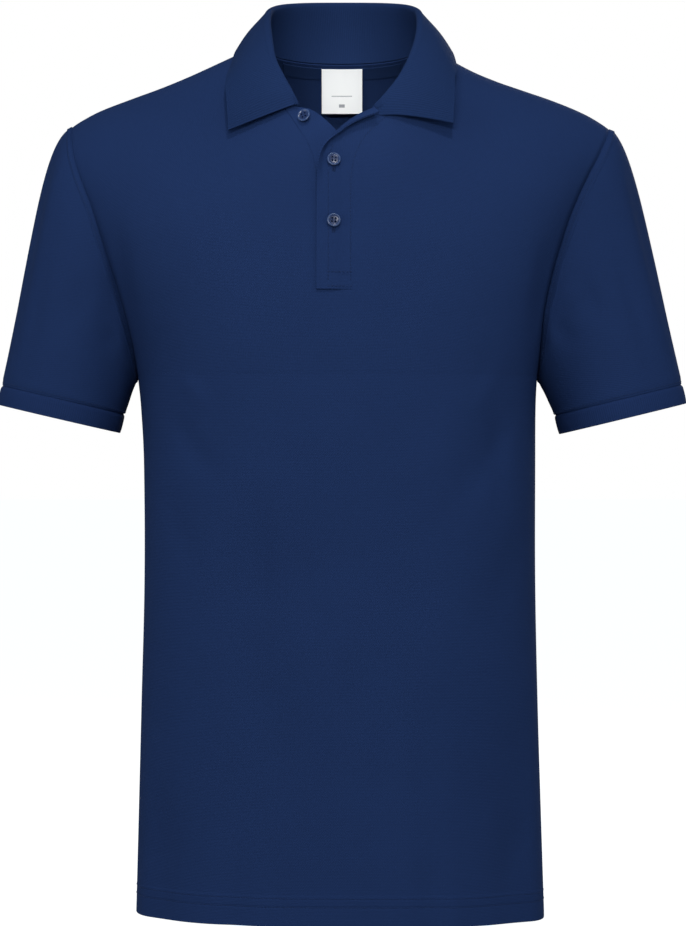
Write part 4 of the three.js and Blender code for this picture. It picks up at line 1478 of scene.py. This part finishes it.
def label_material():
    """White woven tape with one thin grey line and a small grey block, both plain."""
    material, tree, shader = new_material("label weave")
    coordinates = tree.nodes.new("ShaderNodeTexCoord").outputs
    place = put(tree, "ShaderNodeSeparateXYZ", coordinates["UV"]).outputs
    across = maths(tree, "ABSOLUTE", maths(tree, "SUBTRACT", place[0], LABEL_HALF_WIDTH * MM))

    def mark(half_width, low, high):
        inside = maths(tree, "LESS_THAN", across, half_width * MM)
        above = maths(tree, "GREATER_THAN", place[1], low * MM)
        below = maths(tree, "LESS_THAN", place[1], high * MM)
        return maths(tree, "MULTIPLY", inside, maths(tree, "MULTIPLY", above, below))

    marks = maths(tree, "MAXIMUM", mark(**LABEL_LINE), mark(**LABEL_BLOCK))
    colour = two_colours(tree, marks, linear(WHITE_LABEL), linear(LABEL_GREY))
    weave = grouped(tree, RIB_KNIT, coordinates["UV"], *LABEL_PITCHES)[0]
    roughness = ranged(tree, weave, 0.0, 1.0, 0.6, 0.75)
    bump = bump_of(tree, 0.4, LABEL_RELIEF, weave)
    connect(tree, shader, Base_Color=colour, Roughness=roughness, Normal=bump.outputs[0])
    return material


def button_material():
    """Glossy resin, dark navy in its dished middle, with a paler painted highlight where its rim is turned.
    """
    material, tree, shader = new_material("button resin")
    coordinates = tree.nodes.new("ShaderNodeTexCoord").outputs
    from_axis = put(tree, "ShaderNodeSeparateXYZ", coordinates["UV"]).outputs[0]
    # rim: the share of the rim's painted highlight
    rim = ranged(tree, from_axis, *BUTTON_HIGHLIGHT_BAND, 0.0, 1.0)
    colour = two_colours(tree, rim, linear(BUTTON_MIDDLE), linear(BUTTON_RIM_PAINTED_HIGHLIGHT))
    level = noise_level(tree, coordinates["Object"], 320.0, 0.92, 1.1)
    roughness = noise_level(tree, coordinates["Object"], 320.0, 0.26, 0.34)
    connect(tree, shader, Base_Color=shaded(tree, colour, level), Roughness=roughness)
    shader.inputs["Specular IOR Level"].default_value = 0.5
    return material


def thread_material():
    """Sewing thread in the cloth's navy, uneven with its twist."""
    material, tree, shader = new_material("sewing thread")
    place = tree.nodes.new("ShaderNodeTexCoord").outputs["Object"]
    colour = shaded(tree, linear(NAVY_THREAD)[:3], noise_level(tree, place, 1500.0, 0.8, 1.25))
    connect(tree, shader, Base_Color=colour, Roughness=noise_level(tree, place, 1500.0, 0.5, 0.7))
    shader.inputs["Specular IOR Level"].default_value = 0.15
    return material


PIQUE_KNIT = pique_knit()
RIB_KNIT = rib_knit()
YARN_TONE_AND_LOOP_SHADE = yarn_tone_and_loop_shade()
HEM_PRESS = hem_press()
body_cloth = cloth_material("body pique", NAVY, PIQUE_KNIT, PIQUE_PITCHES, PIQUE_RELIEF, HEM_PRESS)
sleeve_cloth = cloth_material("sleeve pique", NAVY, PIQUE_KNIT, PIQUE_PITCHES, PIQUE_RELIEF)
cuff_cloth = cloth_material("cuff rib", NAVY_RIB, RIB_KNIT, RIB_PITCHES, RIB_RELIEF)
# The collar's darker navy is painted shade
collar_cloth = cloth_material("collar rib painted shade", NAVY_COLLAR_PAINTED_SHADE, RIB_KNIT, RIB_PITCHES, RIB_RELIEF)
tape_cloth = cloth_material("neck tape weave", NAVY_TAPE, RIB_KNIT, TAPE_PITCHES, TAPE_RELIEF)
label_cloth = label_material()
resin = button_material()
thread_cloth = thread_material()


# The shirt

front = front_grid()
back = back_grid()
sheets = {
    "front": cloth_piece("front", front, BODY_WALL, body_cloth, present=outside_placket_slit),
    "back": cloth_piece("back", back, BODY_WALL, body_cloth, flip=True),
}
for side in ("left", "right"):
    loop = armhole_loop(side, front, back)
    rings, mouth, axis, centre = sleeve_grid(side, loop)
    cuff = cuff_grid(mouth, axis, centre)
    closed = [ring + ring[:1] for ring in rings]
    closed_cuff = [ring + ring[:1] for ring in cuff]
    flip = side == "right"
    sheets[f"sleeve_{side}"] = cloth_piece(
        f"sleeve_{side}", closed, BODY_WALL, sleeve_cloth, flip=flip)
    sheets[f"cuff_{side}"] = cloth_piece(
        f"cuff_{side}", closed_cuff, CUFF_WALL, cuff_cloth, flip=flip, straight_ribs="along")
    sewn_piece(f"sleeve_stitches_{side}", thread_cloth, [
        edge_line(closed, "bottom", ARMHOLE_ROW, flip),
        edge_line(closed, "top", CUFF_ROW, flip),
    ])

collar = collar_grid()
sheets["collar"] = cloth_piece(
    "collar", collar, COLLAR_WALL, collar_cloth, flip=True, straight_ribs="across")
under_band = under_band_grid()
top_band = [top_band_row(s) for s in shares(BAND_ROWS)]
sheets["placket_under"] = cloth_piece("placket_under", under_band, BAND_WALL, sleeve_cloth)
sheets["placket_top"] = cloth_piece("placket_top", top_band, BAND_WALL, sleeve_cloth)
tape = tape_grid()
label = label_grid()
sheets["neck_tape"] = cloth_piece("neck_tape", tape, TAPE_WALL, tape_cloth, flip=True)
sheets["label"] = cloth_piece("label", label, LABEL_WALL, label_cloth, flip=True)

body = button_body()
thread = button_thread()
for row in BUTTONS:
    add_button(row, body, thread, resin, thread_cloth)

sewn_piece("hem_stitches", thread_cloth, [
    edge_line(front, "bottom", height) for height in HEM_ROWS
] + [
    edge_line(back, "bottom", height, flip=True) for height in HEM_ROWS
])
sewn_piece("shoulder_stitches", thread_cloth, [
    edge_line([row[:OUTER_COLUMNS + 1] for row in back], "top", SHOULDER_ROW, flip=True),
    edge_line([row[-OUTER_COLUMNS - 1:] for row in back], "top", SHOULDER_ROW, flip=True),
])
sewn_piece("tape_stitches", thread_cloth, [
    edge_line(tape, "top", TAPE_ROW, flip=True),
    edge_line(tape, "bottom", TAPE_ROW, flip=True),
])
sewn_piece("placket_stitches", thread_cloth, [
    band_row(BAND_EDGE_ROW, low=0.02, high=0.62),
    band_row(-BAND_SEAM_ROW, low=0.02, high=0.97),
] + [
    band_stitch_line([(x, z) for x in PLACKET_FOOT_ENDS], TOP_BAND_LIFT) for z in PLACKET_FOOT_ROWS
])
for x, top, bottom in BUTTONHOLES:
    sewn_piece(
        "buttonhole_stitches", thread_cloth,
        [band_stitch_line([(x + lip, top), (x + lip, bottom)], TOP_BAND_LIFT) for lip in BUTTONHOLE_LIPS],
        pitch=0.5, length=1.3, width=0.5, lift=0.1, slant=math.pi / 2)


# Floor, light and camera

FLOOR_HEIGHT = -0.8
FLOOR_RADIUS = 40
FLOOR_COLOUR = (0.4, 0.38, 0.35, 1)
FLOOR_GLOW = 0.88
AIR_TINT = (0.6, 0.8, 1, 1)
AIR_LIGHT = 0.42
WHITE = (1, 1, 1, 1)


def camera_only(tree, strength_seen, strength_lit):
    """A strength that the camera sees, beside the one that lights the scene."""
    seen = tree.nodes.new("ShaderNodeLightPath").outputs["Is Camera Ray"]
    return ranged(tree, seen, 0.0, 1.0, strength_lit, strength_seen)


def studio():
    """A plain pale floor that runs out of sight into the white air, and is clear from below."""
    bm = bmesh.new()
    place = Matrix.Translation((0, 0, FLOOR_HEIGHT))
    bmesh.ops.create_circle(bm, cap_ends=True, segments=96, radius=FLOOR_RADIUS, matrix=place)
    mesh = made_mesh("floor", bm)
    material, tree, shader = new_material("pale floor")
    shader.inputs["Base Color"].default_value = FLOOR_COLOUR
    shader.inputs["Roughness"].default_value = 1
    shader.inputs["Specular IOR Level"].default_value = 0
    shader.inputs["Emission Color"].default_value = WHITE
    below = tree.nodes.new("ShaderNodeNewGeometry").outputs["Backfacing"]
    connect(
        tree, shader, Emission_Strength=camera_only(tree, FLOOR_GLOW, 0.0),
        Alpha=maths(tree, "SUBTRACT", 1, below))
    mesh.materials.append(material)
    floor = bpy.data.objects.new("floor", mesh)
    bpy.context.scene.collection.objects.link(floor)


LAMPS = named_rows("name place target size power", [
    ("front", (-0.25, -2.3, 0.6), (0, 0, -0.3), (0.9, 0.3), 21),
    ("overhead", (0.2, -1.5, 2), (0, 0, -0.2), (0.3, 0.3), 20),
    ("left fill", (-2.4, -1.4, -0.2), (0, 0, -0.4), (1.2, 1.2), 11),
    ("right fill", (2.4, -1.4, -0.2), (0, 0, -0.4), (1.2, 1.2), 9),
    ("back", (0.9, 2.6, 0.7), (0, 0, -0.4), (0.9, 0.6), 16),
])
# A narrow light into the neck
SNOOT = {"place": (0.02, -3.1, 0.04), "target": (0.001, 0, -0.026), "cone": 0.05, "size": 0.06, "power": 260}


def add_lamp(light, place, target):
    lamp = bpy.data.objects.new(light.name, light)
    lamp.location = place
    lamp.rotation_euler = (Vector(target) - Vector(place)).to_track_quat("-Z", "Y").to_euler()
    lamp.visible_camera = False
    bpy.context.scene.collection.objects.link(lamp)


def add_light(name, place, target, size, power):
    light = bpy.data.lights.new(name, "AREA")
    light.shape = "RECTANGLE"
    light.size, light.size_y = size
    light.energy = power
    add_lamp(light, place, target)


def add_snoot():
    light = bpy.data.lights.new("neck", "SPOT")
    light.energy = SNOOT["power"]
    light.spot_size = SNOOT["cone"]
    light.spot_blend = 1
    light.shadow_soft_size = SNOOT["size"]
    add_lamp(light, SNOOT["place"], SNOOT["target"])


def set_light():
    world = bpy.data.worlds.new("studio air")
    world.use_nodes = True
    tree = world.node_tree
    air = tree.nodes["Background"]
    seen = tree.nodes.new("ShaderNodeLightPath").outputs["Is Camera Ray"]
    tint = two_colours(tree, seen, AIR_TINT, WHITE)
    connect(tree, air, Color=tint, Strength=camera_only(tree, 1.0, AIR_LIGHT))
    bpy.context.scene.world = world
    for lamp in LAMPS:
        add_light(**lamp)
    add_snoot()
    bpy.context.scene.view_settings.view_transform = "Standard"


CAMERA_DISTANCE = 3.0
PICTURE_CENTRE = (0.0009, -0.3587)
PICTURE_HEIGHT = 0.7871
SENSOR = 24


def set_camera():
    """Level, straight in front, and close enough that the shirt fills the picture."""
    camera = bpy.data.cameras.new("camera")
    camera.sensor_fit = "VERTICAL"
    camera.sensor_height = SENSOR
    camera.lens = SENSOR * CAMERA_DISTANCE / PICTURE_HEIGHT
    camera.clip_start = 0.01
    holder = bpy.data.objects.new("camera", camera)
    holder.location = (PICTURE_CENTRE[0], -CAMERA_DISTANCE, PICTURE_CENTRE[1])
    holder.rotation_euler = (math.pi / 2, 0, 0)
    bpy.context.scene.collection.objects.link(holder)
    bpy.context.scene.camera = holder


studio()
set_light()
set_camera()

bpy.context.view_layer.update()
